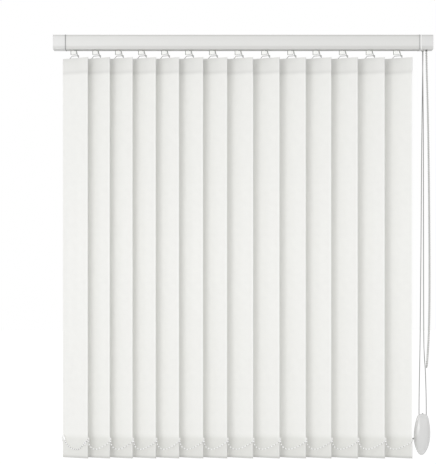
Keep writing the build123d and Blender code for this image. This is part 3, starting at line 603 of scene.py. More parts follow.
@dataclass
class Strand:
    """Builder of one mesh from a thread and the beads on it."""

    def __init__(self) -> None:
        """Start with nothing."""
        self.corners: list[Vector] = []
        self.faces: list[list[int]] = []
        self.marks: list[tuple[float, float]] = []
        self.finishes: list[int] = []

    def thread(self, places: list[Vector], radius: float, sides: int = 6) -> None:
        """Add a thread along a line.

        Args:
            places: the line, in metres.
            radius: the thread's radius in metres.
            sides: number of flats round it.
        """
        start = len(self.corners)
        across = Vector((1, 0, 0))
        walked = 0.0
        for index, place in enumerate(places):
            ahead = places[min(index + 1, len(places) - 1)] - places[max(index - 1, 0)]
            ahead.normalize()
            side = (across - ahead * across.dot(ahead)).normalized()
            across = side
            rise = ahead.cross(side)
            walked += (place - places[index - 1]).length if index else 0.0
            for corner in range(sides):
                angle = 2 * math.pi * corner / sides
                self.corners.append(place + (side * math.cos(angle) + rise * math.sin(angle)) * radius)
                self.marks.append((angle * radius, walked))
        for ring in range(len(places) - 1):
            for corner in range(sides):
                after = (corner + 1) % sides
                low = start + ring * sides
                self.faces.append([low + corner, low + after, low + sides + after, low + sides + corner])
        last = start + (len(places) - 1) * sides
        self.faces.append([start + corner for corner in range(sides)][::-1])
        self.faces.append([last + corner for corner in range(sides)])
        self.finishes += [0] * (len(self.faces) - len(self.finishes))

    def bead(self, model: bpy.types.Object, place: Vector, ahead: Vector) -> None:
        """Add a copy of a bead.

        Args:
            model: the bead, upright at the origin.
            place: where its middle goes.
            ahead: the way that it points.
        """
        start = len(self.corners)
        turn = ahead.to_track_quat("Z", "Y").to_matrix()
        for vertex in model.data.vertices:
            self.corners.append(place + turn @ vertex.co)
            self.marks.append((vertex.co.x, vertex.co.z))
        for face in model.data.polygons:
            self.faces.append([start + vertex for vertex in face.vertices])
        self.finishes += [1] * (len(self.faces) - len(self.finishes))

    def string(self, model: bpy.types.Object, line: list[Vector], pitch: float) -> None:
        """Set beads evenly along a line, with half a space at each end.

        Args:
            model: the bead, upright at the origin.
            line: the line, in metres.
            pitch: about how far apart the beads lie, in metres.
        """
        length = Route.length(line)
        gap = length / max(1, round(length / pitch))
        for place, ahead in Route.spaced(line, gap, gap / 2):
            self.bead(model, place, ahead)

    def build(self, name: str, thread: bpy.types.Material, beads: bpy.types.Material | None = None) -> bpy.types.Object:
        """Make the mesh.

        Args:
            name: the new object's name.
            thread: finish of the thread.
            beads: finish of the beads.

        Returns:
            The object, shaded smooth, with its length marked in its UV map.
        """
        mesh = bpy.data.meshes.new(name)
        mesh.from_pydata([tuple(corner) for corner in self.corners], [], self.faces)
        mesh.materials.append(thread)
        if beads:
            mesh.materials.append(beads)
            mesh.polygons.foreach_set("material_index", self.finishes)
        marks = mesh.uv_layers.new(name="UVMap")
        for loop in mesh.loops:
            marks.data[loop.index].uv = self.marks[loop.vertex_index]
        piece = bpy.data.objects.new(name, mesh)
        bpy.context.scene.collection.objects.link(piece)
        Shop.smooth(piece, 50)
        return piece


@dataclass
class Studio:
    """Camera, lamps, floor and background.

    Attributes:
        distance: from the camera to the rail's front, in metres.
        focal: focal length in pixels of the photograph.
        middle_x: X that lies in the middle column of the photograph.
        eye_z: height of the camera.
        eye_row: row of the photograph at the camera's height.
        floor_z: height of the floor.
    """

    distance: float = 5.5
    focal: float = 1903.0
    middle_x: float = -0.0726
    eye_z: float = -0.738
    eye_row: float = 290.0
    floor_z: float = -1.5
    sky: float = 0.76
    key_power: float = 62.0

    def build(self) -> None:
        """Set up the whole studio."""
        self.camera()
        self.world()
        self.floor()
        self.lamp("key_lamp", (-2.2, -5.0, 0.6), (0, 0, -0.6), 3.6, self.key_power)
        self.lamp("fill_lamp", (2.6, -4.4, 0.4), (0, 0, -0.6), 3.0, self.key_power * 0.15)
        self.lamp("low_lamp", (-1.6, -3.6, -1.0), (0.5, 0, -1.1), 1.2, self.key_power * 0.12)

    def camera(self) -> None:
        """Place the camera level, with the photograph's framing."""
        data = bpy.data.cameras.new("camera")
        data.sensor_width = 36.0
        data.lens = self.focal * data.sensor_width / IMAGE_HEIGHT
        data.shift_y = (self.eye_row - IMAGE_HEIGHT / 2) / IMAGE_HEIGHT
        data.clip_end = 100
        camera = bpy.data.objects.new("camera", data)
        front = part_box("headrail")[0].y
        camera.location = (self.middle_x, front - self.distance, self.eye_z)
        camera.rotation_euler = (math.radians(90), 0, 0)
        bpy.context.scene.collection.objects.link(camera)
        bpy.context.scene.camera = camera

    def world(self) -> None:
        """Light evenly from all round, and show white behind the blind."""
        world = bpy.data.worlds.new("studio")
        bpy.context.scene.world = world
        world.use_nodes = True
        tree = world.node_tree
        background = tree.nodes["Background"]
        background.inputs["Color"].default_value = linear("#FFFFFF")
        path = add_node(tree, "ShaderNodeLightPath")
        seen = add_node(tree, "ShaderNodeMath", {"operation": "MAXIMUM"})
        tree.links.new(path.outputs["Is Camera Ray"], seen.inputs[0])
        tree.links.new(path.outputs["Is Transmission Ray"], seen.inputs[1])
        span = {"To Min": self.sky, "To Max": 1.0}
        strength = add_node(tree, "ShaderNodeMapRange", span, {"Value": seen.outputs[0]})
        tree.links.new(strength.outputs["Result"], background.inputs["Strength"])

    def floor(self) -> None:
        """Lay a pale floor, which shows white where no shadow falls."""
        bpy.ops.object.select_all(action="DESELECT")
        bpy.ops.mesh.primitive_plane_add(size=60, location=(0, 0, self.floor_z))
        floor = bpy.context.active_object
        floor.name = "floor"
        material = bpy.data.materials.new("Matt white studio floor")
        material.use_nodes = True
        tree = material.node_tree
        shader = tree.nodes["Principled BSDF"]
        shader.inputs["Base Color"].default_value = linear("#F0F0F0")
        shader.inputs["Roughness"].default_value = 0.9
        path = add_node(tree, "ShaderNodeLightPath")
        glow = add_node(tree, "ShaderNodeMath", {"operation": "MULTIPLY", 1: 0.37}, {0: path.outputs["Is Camera Ray"]})
        shader.inputs["Emission Color"].default_value = linear("#FFFFFF")
        tree.links.new(glow.outputs[0], shader.inputs["Emission Strength"])
        floor.data.materials.append(material)

    @staticmethod
    def lamp(name: str, place: tuple, target: tuple, size: float, power: float) -> None:
        """Hang a soft square lamp.

        Args:
            name: its name.
            place: where it hangs.
            target: the point that it faces.
            size: its side in metres.
            power: its power in watts.
        """
        data = bpy.data.lights.new(name, "AREA")
        data.size = size
        data.energy = power
        lamp = bpy.data.objects.new(name, data)
        lamp.location = place
        lamp.rotation_euler = (Vector(place) - Vector(target)).to_track_quat("Z", "Y").to_euler()
        bpy.context.scene.collection.objects.link(lamp)


@dataclass
class Headrail:
    """Painted rail with its two end caps, dark strips of painted shade at its joints, and a light strip of painted
    highlight on the control cap's edge.
    """

    strip_width: float = 2.6
    strip_proud: float = 0.25
    strip_depth: float = 0.9

    def build(self, finishes: dict[str, bpy.types.Material]) -> None:
        """Dress the rail and caps, and add dark strips of painted shade at the joints and a light strip of painted
        highlight on the control cap's edge.

        Args:
            finishes: the materials by name.
        """
        Shop.dress("headrail", finishes["rail"])
        Shop.dress("control_cap", finishes["cap"])
        Shop.dress("return_cap", finishes["cap"])
        low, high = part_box("headrail")
        half = self.strip_width / 2
        left, right = low.x / MM, high.x / MM
        # Dark strips at the two joints: painted shade for the gap between the rail and each cap.
        self.strip("return_joint_shade_strip", left - half, finishes["joint_gap_shade_dark"])
        self.strip("control_joint_shade_strip", right - half, finishes["joint_gap_shade_grey"])
        # A light strip on the control cap beside its joint: a painted highlight on the cap's proud edge.
        self.strip("control_cap_highlight_strip", right + self.strip_width + half, finishes["lip"])

    def strip(self, name: str, x: float, material: bpy.types.Material) -> None:
        """Wrap a thin strip round the rail; its colour is painted shade at a joint, and painted highlight on the cap's
        edge.

        Args:
            name: the strip's name.
            x: its middle along the rail, in millimetres.
            material: its finish.
        """
        low, high = (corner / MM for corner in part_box("return_cap"))
        size = (self.strip_width, high.y - low.y + 2 * self.strip_proud, high.z - low.z + 2 * self.strip_proud)
        centre = (x, (low.y + high.y) / 2, (low.z + high.z) / 2)
        piece = Shop.block(size, centre)
        ends = lambda face: abs(face.normal.x) > 0.9
        Shop.on_faces(piece, ends, bpy.ops.mesh.inset, thickness=self.strip_depth * MM)
        inner = lambda face: abs(face.normal.x) > 0.9 and abs(face.center.y - centre[1] * MM) < MM
        Shop.on_faces(piece, inner, bpy.ops.mesh.bridge_edge_loops)
        Shop.soften(piece, 0.12, 1)
        Shop.settle(piece, name, material, "root", "cap_plastic")
        Shop.report(piece)


@dataclass
class Drive:
    """Carriers, rod, wheels and pulleys inside the rail and caps."""

    def build(self, finishes: dict[str, bpy.types.Material], count: int) -> None:
        """Dress every inner node.

        Args:
            finishes: the materials by name.
            count: the number of carriers.
        """
        for number in range(1, count + 1):
            Shop.dress(f"carrier_{number:02d}", finishes["runner"])
        for node in ("chain_wheel", "return_pulley", "front_guide_pulley", "rear_guide_pulley", "weight_pulley"):
            Shop.dress(node, finishes["runner"])
        Shop.dress("tilt_rod", finishes["rod"])
        Shop.dress("guide_axle", finishes["pin"])
        Shop.dress("weight_pin", finishes["pin"])
        LOG.info("inner drive: %d carriers dressed", count)


@dataclass
class Vane:
    """One cloth vane with its hanger, bottom weight and chain clips.

    Attributes:
        tilt: angle of the vane from the rail, in degrees.
        width: vane width in millimetres.
        top: height of the vane's top edge.
        bottom: height of its bottom edge.
        top_pocket: depth of the pocket for the hanger.
        low_pocket: depth of the pocket for the weight.
        ply: thickness of the cloth.
        room: clear width inside a pocket.
        curl: how far the cloth's middle stands out from its edges.
        columns: divisions across the cloth.
    """

    tilt: float = 32.0
    width: float = 89.0
    top: float = -65.0
    bottom: float = -1225.0
    top_pocket: float = 43.0
    low_pocket: float = 63.0
    ply: float = 0.45
    room: float = 1.3
    curl: float = 1.6
    columns: int = 18
    ear_z: float = -1168.6
    ear_centre: float = 46.9

    def matrix(self, station: float) -> Matrix:
        """Place and turn of the vane at a station, in metres."""
        return Matrix.Translation((station, 0, 0)) @ Matrix.Rotation(math.radians(-self.tilt), 4, "Z")

    def strip_rows(self) -> list[tuple[float, float]]:
        """Line that the strip of cloth follows, seen from its edge.

        Returns:
            Depth and height of each row in millimetres, from the hem of the top pocket over the
            top fold, down the face, round the bottom fold and up to the hem of the low pocket.
        """
        side = (self.room + self.ply) / 2
        seam = self.ply * 1.05 - side
        rows = [(seam, self.top - self.top_pocket), (seam, self.top - self.top_pocket + 1.5)]
        rows += [(side * 0.9, self.top - self.top_pocket + 6), (side, self.top - 14), (side, self.top - side)]
        rows += [(side * 0.7, self.top - side * 0.3), (0, self.top), (-side * 0.7, self.top - side * 0.3)]
        face = [self.top - 1.6, self.top - 20, self.top - self.top_pocket + 4, self.top - self.top_pocket - 3]
        spans = 10
        first, last = face[-1] - 20, self.bottom + self.low_pocket + 24
        face += [first + (last - first) * span / spans for span in range(spans + 1)]
        face += [self.bottom + self.low_pocket + 3, self.bottom + self.low_pocket - 4, self.bottom + 20, self.bottom + 1.6]
        rows += [(-side, height) for height in face]
        rows += [(-side * 0.7, self.bottom + side * 0.3), (0, self.bottom), (side * 0.7, self.bottom + side * 0.3)]
        rows += [(side, self.bottom + side), (side, self.bottom + 14), (side * 0.9, self.bottom + self.low_pocket - 6)]
        rows += [(seam, self.bottom + self.low_pocket - 1.5), (seam, self.bottom + self.low_pocket)]
        return rows

    def strip_lengths(self) -> list[float]:
        """How far along the strip each row lies, in millimetres."""
        rows = self.strip_rows()
        lengths = [0.0]
        for before, after in zip(rows, rows[1:]):
            lengths.append(lengths[-1] + math.dist(before, after))
        return lengths

    def seams(self) -> tuple[float, float]:
        """Where the two seams lie along the strip, in millimetres."""
        return 2 * self.top_pocket, self.strip_lengths()[-1] - 2 * self.low_pocket

    def cloth(self) -> bpy.types.Object:
        """Form the strip of cloth.

        Returns:
            The folded strip, unturned, at the origin's station.
        """
        rows, lengths = self.strip_rows(), self.strip_lengths()
        bpy.ops.object.select_all(action="DESELECT")
        bpy.ops.mesh.primitive_grid_add(x_subdivisions=self.columns, y_subdivisions=len(rows) - 1, size=1)
        piece = bpy.context.active_object
        marks = piece.data.uv_layers.active
        for loop in piece.data.loops:
            flat = piece.data.vertices[loop.vertex_index].co
            row = round((flat.y + 0.5) * (len(rows) - 1))
            marks.data[loop.index].uv = ((flat.x + 0.5) * self.width * MM, lengths[row] * MM)
        for vertex in piece.data.vertices:
            row = round((vertex.co.y + 0.5) * (len(rows) - 1))
            depth, height = rows[row]
            share = 2 * vertex.co.x
            free = math.sin(math.pi * min(1.0, max(0.0, (self.top - height) / (self.top - self.bottom))))
            bow = self.curl * free * (share * share - 1) - 0.35 * math.sin(2.6 * math.pi * share) * free
            vertex.co = Vector((vertex.co.x * self.width, depth + bow, height)) * MM
        Shop.modify(piece, "SOLIDIFY", thickness=self.ply * MM, offset=0.0)
        Shop.outward(piece)
        Shop.smooth(piece, 40)
        return piece

    def plate(self) -> bpy.types.Object:
        """Form the weight plate, its ears and the round clips that hold the chains.

        Returns:
            The plate, unturned, at the origin's station.
        """
        plate = Shop.block((84.0, 1.05, 54.0), (0, 0, self.bottom + 0.9 + 27.0))
        ears = Shop.block((2 * self.ear_centre - 2, 0.95, 4.0), (0, 0, self.ear_z))
        Shop.soften(plate, 0.3)
        Shop.soften(ears, 0.3)
        parts = [plate, ears]
        for side in (-1, 1):
            place = side * (self.ear_centre - 0.6)
            knob = Shop.rod(3.0, 3.4, (place, 0, self.ear_z), (90, 0, 0))
            taller = Vector((place, 0, self.ear_z)) * MM
            bpy.ops.object.select_all(action="DESELECT")
            knob.select_set(True)
            bpy.context.view_layer.objects.active = knob
            bpy.ops.object.mode_set(mode="EDIT")
            bpy.ops.mesh.select_all(action="SELECT")
            bpy.ops.transform.resize(value=(1, 1, 1.25), center_override=taller)
            bpy.ops.object.mode_set(mode="OBJECT")
            Shop.soften(knob, 1.1, 3)
            parts.append(knob)
        piece = Shop.join(parts)
        Shop.smooth(piece)
        return piece

    def ring(self) -> bpy.types.Object:
        """Form the small ring that gathers the chain's spare end, unturned, at the origin."""
        bpy.ops.object.select_all(action="DESELECT")
        bpy.ops.mesh.primitive_torus_add(
            major_radius=3.5 * MM, minor_radius=1.5 * MM, major_segments=28, minor_segments=10,
            rotation=(math.radians(90), 0, 0),
        )
        bpy.ops.object.transform_apply(location=True, rotation=True, scale=True)
        ring = bpy.context.active_object
        Shop.smooth(ring, 60)
        return ring


@dataclass
class Hook:
    """Clear stem that turns in the carrier, and the white hanger that it carries."""

    seat: float = -20.92
    rail_under: float = -42.62
    pane_left: float = -16.0
    pane_right: float = 4.0
    pane_height: float = 12.4
    pane_y: float = -1.37
    leg_x: float = 9.6
    bar_half: float = 12.5
    bar_height: float = 1.8
    neck_left: float = -22.0
    vane_top: float = -65.0
    bar_top: float = -57.6

    def stem(self, clear: bpy.types.Material, frosted: bpy.types.Material) -> bpy.types.Object:
        """Form the stem: toothed wheel, shaft, flange, clear pane with its ribs, leg, foot and lip.

        Args:
            clear: finish of the pane.
            frosted: finish of everything else.

        Returns:
            The stem, unturned, at the origin's station.
        """
        wheel = Shop.rod(3.4, 5.9, (0, 0, self.seat + 2.95), (0, 0, 0), 16)
        teeth = lambda face: abs(face.normal.z) < 0.5 and round(math.atan2(face.normal.y, face.normal.x) * 8 / math.pi - 0.5) % 2 == 0
        Shop.on_faces(wheel, teeth, bpy.ops.mesh.extrude_faces_move, TRANSFORM_OT_shrink_fatten={"value": 0.55 * MM})
        shaft = Shop.rod(2.85, self.seat - self.rail_under, (0, 0, (self.seat + self.rail_under) / 2), (0, 0, 0), 24)
        flange = Shop.rod(3.9, 1.6, (0, 0, self.rail_under - 0.8), (0, 0, 0), 24)
        low = self.rail_under - self.pane_height
        middle_z = self.rail_under - self.pane_height / 2
        width, middle_x = self.pane_right - self.pane_left, (self.pane_right + self.pane_left) / 2
        pane = Shop.block((width, 1.0, self.pane_height), (middle_x, self.pane_y, middle_z))
        left_rib = Shop.block((1.6, 1.8, self.pane_height), (self.pane_left + 0.8, self.pane_y, middle_z))
        low_rib = Shop.block((width, 1.6, 1.0), (middle_x, self.pane_y, low + 0.5))
        leg_low = self.bar_top - self.bar_height - 1.9
        leg_height = self.rail_under - leg_low
        leg = Shop.block((2.6, 1.8, leg_height), (self.pane_right, self.pane_y, leg_low + leg_height / 2))
        Shop.lean(leg, -0.4, self.leg_x - self.pane_right)
        seat_z = self.bar_top - self.bar_height - 1.0
        foot = Shop.block((3.8, 3.3, 1.7), (self.leg_x, -0.35, seat_z))
        lip = Shop.block((3.8, 1.1, 3.2), (self.leg_x, 1.22, seat_z + 0.7))
        hard = [wheel, shaft, flange, low_rib, leg, foot, lip, left_rib]
        Shop.finish(frosted, hard)
        Shop.finish(clear, [pane])
        for part in (flange, pane, left_rib, low_rib, leg, foot, lip):
            Shop.soften(part, 0.3)
        piece = Shop.join([*hard, pane])
        Shop.smooth(piece)
        return piece

    def hanger(self) -> bpy.types.Object:
        """Form the hanger: a plate for the pocket, and a neck with a window under its bar.

        Returns:
            The hanger, unturned, at the origin's station.
        """
        top = self.vane_top - 0.57
        plate = Shop.block((80.0, 1.1, 36.0), (0, 0, top - 18.0))
        Shop.soften(plate, 0.35)
        rise = self.bar_top - top
        bar = Shop.block((2 * self.bar_half, 1.1, self.bar_height), (0, 0, self.bar_top - self.bar_height / 2))
        right = Shop.block((2.2, 1.1, rise), (self.bar_half - 1.1, 0, top + rise / 2))
        left = Shop.block((2.4, 1.1, rise + 0.4), (0, 0, top + rise / 2 - 0.2))
        Shop.lean(left, 1.2 - self.bar_half, self.neck_left + 1.2)
        for part in (bar, right, left):
            Shop.soften(part, 0.3)
        piece = Shop.join([plate, bar, right, left])
        Shop.smooth(piece)
        return piece


@dataclass
class BottomChain:
    """White bead chain that hangs from clip to clip.

    Attributes:
        side: 1 for the near edges of the vanes, and -1 for the far ones.
        swag: how far the chain hangs below the clips, in millimetres.
        pitch: bead spacing.
        radius: bead radius.
        bead_length: bead length.
    """

    side: int
    swag: float = 25.5
    pitch: float = 8.9
    radius: float = 2.0
    bead_length: float = 5.6
    thread_radius: float = 0.4
    clip_drop: float = 2.4
    bow: float = 1.9

    # Share of the way to the next clip, and share of the swag, at each control point
    LINE = [(0.0, 0.0), (0.012, 0.4), (0.09, 0.86), (0.31, 1.13), (0.6, 0.86), (0.85, 0.42), (0.985, 0.2), (1.0, 0.0)]

    # Place along the vane, and height above the clips, of the spare end's control points
    TAIL = [
        (-35.5, -6.5), (-33.0, -12.5), (-24.0, -21.5), (-10.0, -30.5), (6.0, -32.5), (17.0, -28.5),
        (27.0, -20.5), (33.0, -15.0), (38.0, -10.5), (43.5, -5.0), (46.3, -1.0),
    ]

    def bead(self) -> bpy.types.Object:
        """Form one bead, upright at the origin."""
        bpy.ops.object.select_all(action="DESELECT")
        bpy.ops.mesh.primitive_uv_sphere_add(segments=8, ring_count=6, radius=self.radius * MM)
        bpy.ops.transform.resize(value=(1, 1, self.bead_length / 2 / self.radius), center_override=(0, 0, 0))
        bpy.ops.object.transform_apply(location=True, rotation=True, scale=True)
        return bpy.context.active_object

    def swag_line(self, start: Vector, end: Vector) -> list[Vector]:
        """Trace the line of one swag.

        Args:
            start: where it starts, in millimetres.
            end: where it ends, in millimetres.

        Returns:
            Points along the swag, in metres.
        """
        controls = [start.lerp(end, share) - UP * self.swag * drop for share, drop in self.LINE]
        return Route(controls).trace()


@dataclass
class Blind:
    """The whole blind, made in order."""

    def __init__(self) -> None:
        """Read the stations of the vanes from the frame."""
        places = {joint["child"]: joint["pos_m"][0] for joint in frame["joints"] if joint["child"].startswith("slat_")}
        self.stations = [places[name] for name in sorted(places)]
        self.vane = Vane()
        self.finishes = self.make_finishes()

    def make_finishes(self) -> dict[str, bpy.types.Material]:
        """Make every material of the blind, by name."""
        top_seam, low_seam = self.vane.seams()
        return {
            # The rail and cap finishes carry bands of painted shade along their top and lower edges.
            # Powder-coated aluminium: satin, with a faint orange-peel of the sprayed powder
            "rail": RailPaint("Powder-coated aluminium", "#E4E4E2", "#DFDFDD", 0.38, 1.1, 0.012, coat=0.1).make(),
            # Moulded ABS: smoother and a little glossier than the rail
            "cap": RailPaint("Moulded ABS, white", "#E4E4E3", "#E0E0DF", 0.30, 0.8, 0.01, coat=0.15).make(),
            # Light lip strip: a painted highlight on the control cap's proud edge.
            "lip": Finish("Moulded ABS, painted edge highlight", "#F6F6F5", "#F1F1F0", 0.28, 0.8, 0.01, coat=0.2).make(),
            # Joint strips: dull and dark, painted shade for the gap between the rail and its caps
            "joint_gap_shade_dark": Finish("Painted joint gap shade, mid grey", "#A0A0A0", "#969696", 0.7, 0.6, 0.02).make(),
            "joint_gap_shade_grey": Finish("Painted joint gap shade, light grey", "#BEBEBD", "#B4B4B3", 0.7, 0.6, 0.02).make(),
            # Acetal: waxy and slightly see-through, with fine mould texture
            "runner": Finish("Acetal, natural", "#DEDEDB", "#D6D6D2", 0.42, 0.5, 0.01, scatter=0.15).make(),
            # Polycarbonate: the thin pane lets the wall behind show; the frosted parts are coloured grey, painted shade
            # for the shaded edges of the plastic, so the ribs read as grey lines
            "pane": Finish("Polycarbonate, clear", "#FDFDFB", "#F8F9F6", 0.06, 0.6, 0.004, clear=1.0).make(),
            "stem": Finish("Polycarbonate, frosted", "#B4B5B2", "#A9AAA7", 0.28, 0.6, 0.008, coat=0.3).make(),
            # Polypropylene: its thin neck is coloured grey, painted shade for the dark edges of the white plastic seen
            # against the light
            "hanger": Finish("Polypropylene, milky", "#A8A8A6", "#9C9C9A", 0.4, 0.5, 0.01, scatter=0.1).make(),
            # Aluminium rod: drawn marks run along it and stretch its highlights
            "rod": Finish("Extruded aluminium", "#C2C3C5", "#B4B5B7", 0.32, 0.4, 0.01, Pattern.BRUSHED, metallic=1.0).make(),
            # Steel pins: darker than the rod, with tighter highlights
            "pin": Finish("Drawn stainless steel", "#B0B0B2", "#9C9C9F", 0.25, 0.3, 0.006, Pattern.BRUSHED, metallic=1.0).make(),
            # The vane finish has a painted highlight along its near edge and painted shade on its folds.
            # Woven polyester: ribs run down the vane and catch the light, and fibres give a soft edge
            "vane": VaneCloth(
                "Woven polyester, pale grey", "#FCFCFB", "#F3F3F2", 0.82, 2.4, 0.10, Pattern.WOVEN, sheen=0.05,
                fold_mm=self.vane.top_pocket, top_seam_mm=top_seam, low_seam_mm=low_seam,
                hem_mm=self.vane.strip_lengths()[-1] - self.vane.low_pocket,
            ).make(),
            # Acetal beads: bright and glossy, each with its own small highlight
            "chain": Finish("Moulded acetal beads, white", "#FFFFFF", "#FCFCFB", 0.2, 0.6, 0.006, coat=0.5).make(),
            # Thread between the beads: dull and grey, partly its own tone and partly painted shade around the beads, so
            # that the beads stand apart
            "thread": Finish("Twisted polyester thread", "#8E8E8B", "#7E7E7B", 0.7, 0.4, 0.02).make(),
            # Nylon beads: greyer and less bright than the acetal ones
            "tilt_chain": Finish("Moulded nylon beads, grey white", "#C9C9C6", "#BFBFBC", 0.3, 0.6, 0.006, coat=0.2).make(),
            # Braided cord: the crossing yarns make a fine diamond pattern
            "cord": Finish("Braided polyester", "#8E8E8C", "#686866", 0.75, 0.8, 0.12, Pattern.BRAIDED, sheen=0.05).make(),
            # Glossy ABS: long soft highlights follow the weight's curve
            "weight": Finish("Moulded ABS, glossy", "#E0E0DF", "#DBDBDA", 0.2, 1.2, 0.006, coat=0.5).make(),
            # Coated steel: hidden in the pocket, but for its ears and clips
            "plate": Finish("Coated steel, white", "#F6F6F4", "#EFEFED", 0.3, 0.5, 0.01, coat=0.2).make(),
            # Dark end stops of the chain
            "stop": Finish("Nylon, mid grey", "#8E8E8C", "#828280", 0.4, 0.5, 0.01).make(),
        }

    def build(self) -> None:
        """Make and report every sub-assembly."""
        Headrail().build(self.finishes)
        Drive().build(self.finishes, len(self.stations))
        self.build_vanes()
        self.build_hooks()
        self.build_bottom_chains()
        self.build_tail()
        self.build_tilt_chain()
        self.build_cord()
        self.build_weight()

    def build_vanes(self) -> None:
        """Hang the cloth and weight of every vane."""
        cloth, plate = self.vane.cloth(), self.vane.plate()
        cut = self.vane.strip_lengths()[-1] * MM
        for number, station in enumerate(self.stations, start=1):
            place, body = self.vane.matrix(station), f"slat_{number:02d}"
            sheet = Shop.copy(cloth, f"vane_cloth_{number:02d}", place)
            Shop.settle(sheet, sheet.name, self.finishes["vane"], body, "vane_fabric", [f"vane_{number:02d}"])
            weight = Shop.copy(plate, f"vane_weight_{number:02d}", place)
            Shop.settle(weight, weight.name, self.finishes["plate"], body, "chain_plastic")
        bpy.data.objects.remove(cloth)
        bpy.data.objects.remove(plate)
        LOG.info("vanes: %d, each cut %.3f m long", len(self.stations), cut)

    def build_hooks(self) -> None:
        """Hang the stem and hanger of every vane."""
        hook = Hook()
        stem, hanger = hook.stem(self.finishes["pane"], self.finishes["stem"]), hook.hanger()
        for number, station in enumerate(self.stations, start=1):
            place, body = self.vane.matrix(station), f"slat_{number:02d}"
            shaft = Shop.copy(stem, f"hook_{number:02d}", place)
            Shop.settle(shaft, shaft.name, None, body, "stem_plastic", [f"stem_{number:02d}"])
            plate = Shop.copy(hanger, f"hanger_{number:02d}", place)
            Shop.settle(plate, plate.name, self.finishes["hanger"], body, "stem_plastic")
        Shop.report(shaft)
        Shop.report(plate)
        bpy.data.objects.remove(stem)
        bpy.data.objects.remove(hanger)

    def clip(self, number: int, side: int) -> Vector:
        """Middle of the clip on a vane's near (1) or far (-1) edge, in millimetres."""
        along = Vector((math.cos(math.radians(self.vane.tilt)), -math.sin(math.radians(self.vane.tilt)), 0))
        return Vector((self.stations[number] / MM, 0, self.vane.ear_z)) + along * side * self.vane.ear_centre

    def build_bottom_chains(self) -> None:
        """Hang both bottom chains, from clip to clip along the vanes."""
        for side, name, body in ((1, "front_chain", "near_chain"), (-1, "rear_chain", "far_chain")):
            chain = BottomChain(side)
            bead, strand = chain.bead(), Strand()
            line: list[Vector] = []
            for number in range(len(self.stations) - 1):
                shift = Vector((0, -side * chain.bow, -chain.clip_drop))
                swag = chain.swag_line(self.clip(number, side) + shift, self.clip(number + 1, side) + shift)
                strand.thread(swag, chain.thread_radius * MM, 5)
                strand.string(bead, swag, chain.pitch * MM)
                line += swag
            piece = strand.build(f"{name}_beads", self.finishes["thread"], self.finishes["chain"])
            Shop.settle(piece, piece.name, None, body, "chain_plastic", [name])
            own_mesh(piece)
            Route.length(line)
            bpy.data.objects.remove(bead)
            Shop.report(piece)

    def build_tail(self) -> None:
        """Hang the spare end of the chain across the first vane, with its connector."""
        chain = BottomChain(1)
        place = self.vane.matrix(self.stations[0])
        front, ear_z = -3.6, self.vane.ear_z
        controls = [place.to_3x3() @ Vector((along, front, ear_z + rise)) for along, rise in chain.TAIL]
        swag = Route([control + Vector((self.stations[0] / MM, 0, 0)) for control in controls]).trace()
        bead, strand = chain.bead(), Strand()
        strand.thread(swag, 2 * chain.thread_radius * MM, 6)
        strand.string(bead, swag, 0.8 * chain.pitch * MM)
        piece = strand.build("chain_tail_beads", self.finishes["thread"], self.finishes["chain"])
        Shop.settle(piece, piece.name, None, "slat_01", "chain_plastic", ["chain_tail"])
        bpy.data.objects.remove(bead)
        connector = Shop.rod(3.0, 17.0, (0, 0, 0), (0, -25, 0), 20)
        Shop.soften(connector, 2.0, 4)
        Shop.smooth(connector)
        connector.data.transform(place @ Matrix.Translation(Vector((-37.4, front - 1.2, ear_z + 1.0)) * MM))
        Shop.settle(connector, "chain_connector", self.finishes["chain"], "slat_01", "chain_plastic")
        ring = self.vane.ring()
        ring.data.transform(place @ Matrix.Translation(Vector((35.9, front, ear_z - 12.3)) * MM))
        Shop.settle(ring, "chain_ring", self.finishes["chain"], "slat_01", "chain_plastic")
        Route.length(swag)
        stop = Shop.rod(1.8, 4.8, (0, 0, 0), (0, 60, 0), 16)
        Shop.soften(stop, 0.8, 2)
        Shop.smooth(stop)
        last = self.vane.matrix(self.stations[-1])
        stop.data.transform(last @ Matrix.Translation(Vector((48.0, -1.2, ear_z + 1.6)) * MM))
        Shop.settle(stop, "chain_stop", self.finishes["stop"], f"slat_{len(self.stations):02d}", "chain_plastic")
        Shop.report(piece)

    def build_tilt_chain(self) -> None:
        """Hang the endless bead chain over its wheel."""
        drifts = [
            (-60.0, 533.0), (-235.0, 538.0), (-475.0, 541.2), (-715.0, 542.6),
            (-840.0, 541.3), (-905.0, 538.4), (-938.0, 536.0), (-955.0, 534.6),
        ]
        wheel_x, rod_y, rod_z, pitch_radius, loop_half = 533.0, 8.0, -17.0, 9.0, 14.0
        diameter, pitch = 4.2, 6.6
        runs = []
        for side in (-1, 1):
            run = []
            for height, place_x in drifts:
                share = (height - drifts[0][0]) / (drifts[-1][0] - drifts[0][0])
                run.append(Vector((place_x, rod_y + side * (pitch_radius + (loop_half - pitch_radius) * share), height)))
            runs.append(run)
        half = loop_half / (1 + math.sqrt(2))
        low = drifts[-1][0] - half * math.sqrt(2)
        loop = [Vector((533.5, rod_y + side * half, low)) for side in (-1, 1)]
        front = Vector((wheel_x, rod_y - pitch_radius, rod_z))
        rear = Vector((wheel_x, rod_y + pitch_radius, rod_z))
        over = [Vector((wheel_x, rod_y + side * pitch_radius, rod_z + pitch_radius)) for side in (1, -1)]
        line = Route([front, *runs[0], *loop, *reversed(runs[1]), rear, *over, front]).trace(16)
        bpy.ops.object.select_all(action="DESELECT")
        bpy.ops.mesh.primitive_uv_sphere_add(segments=10, ring_count=7, radius=diameter / 2 * MM)
        bead, strand = bpy.context.active_object, Strand()
        strand.thread(line, 0.6 * MM, 5)
        strand.string(bead, line, pitch * MM)
        piece = strand.build("tilt_chain_beads", self.finishes["thread"], self.finishes["tilt_chain"])
        Shop.settle(piece, piece.name, None, "root", "chain_plastic", ["tilt_chain"])
        Route.length(line)
        bpy.data.objects.remove(bead)
        Shop.report(piece)

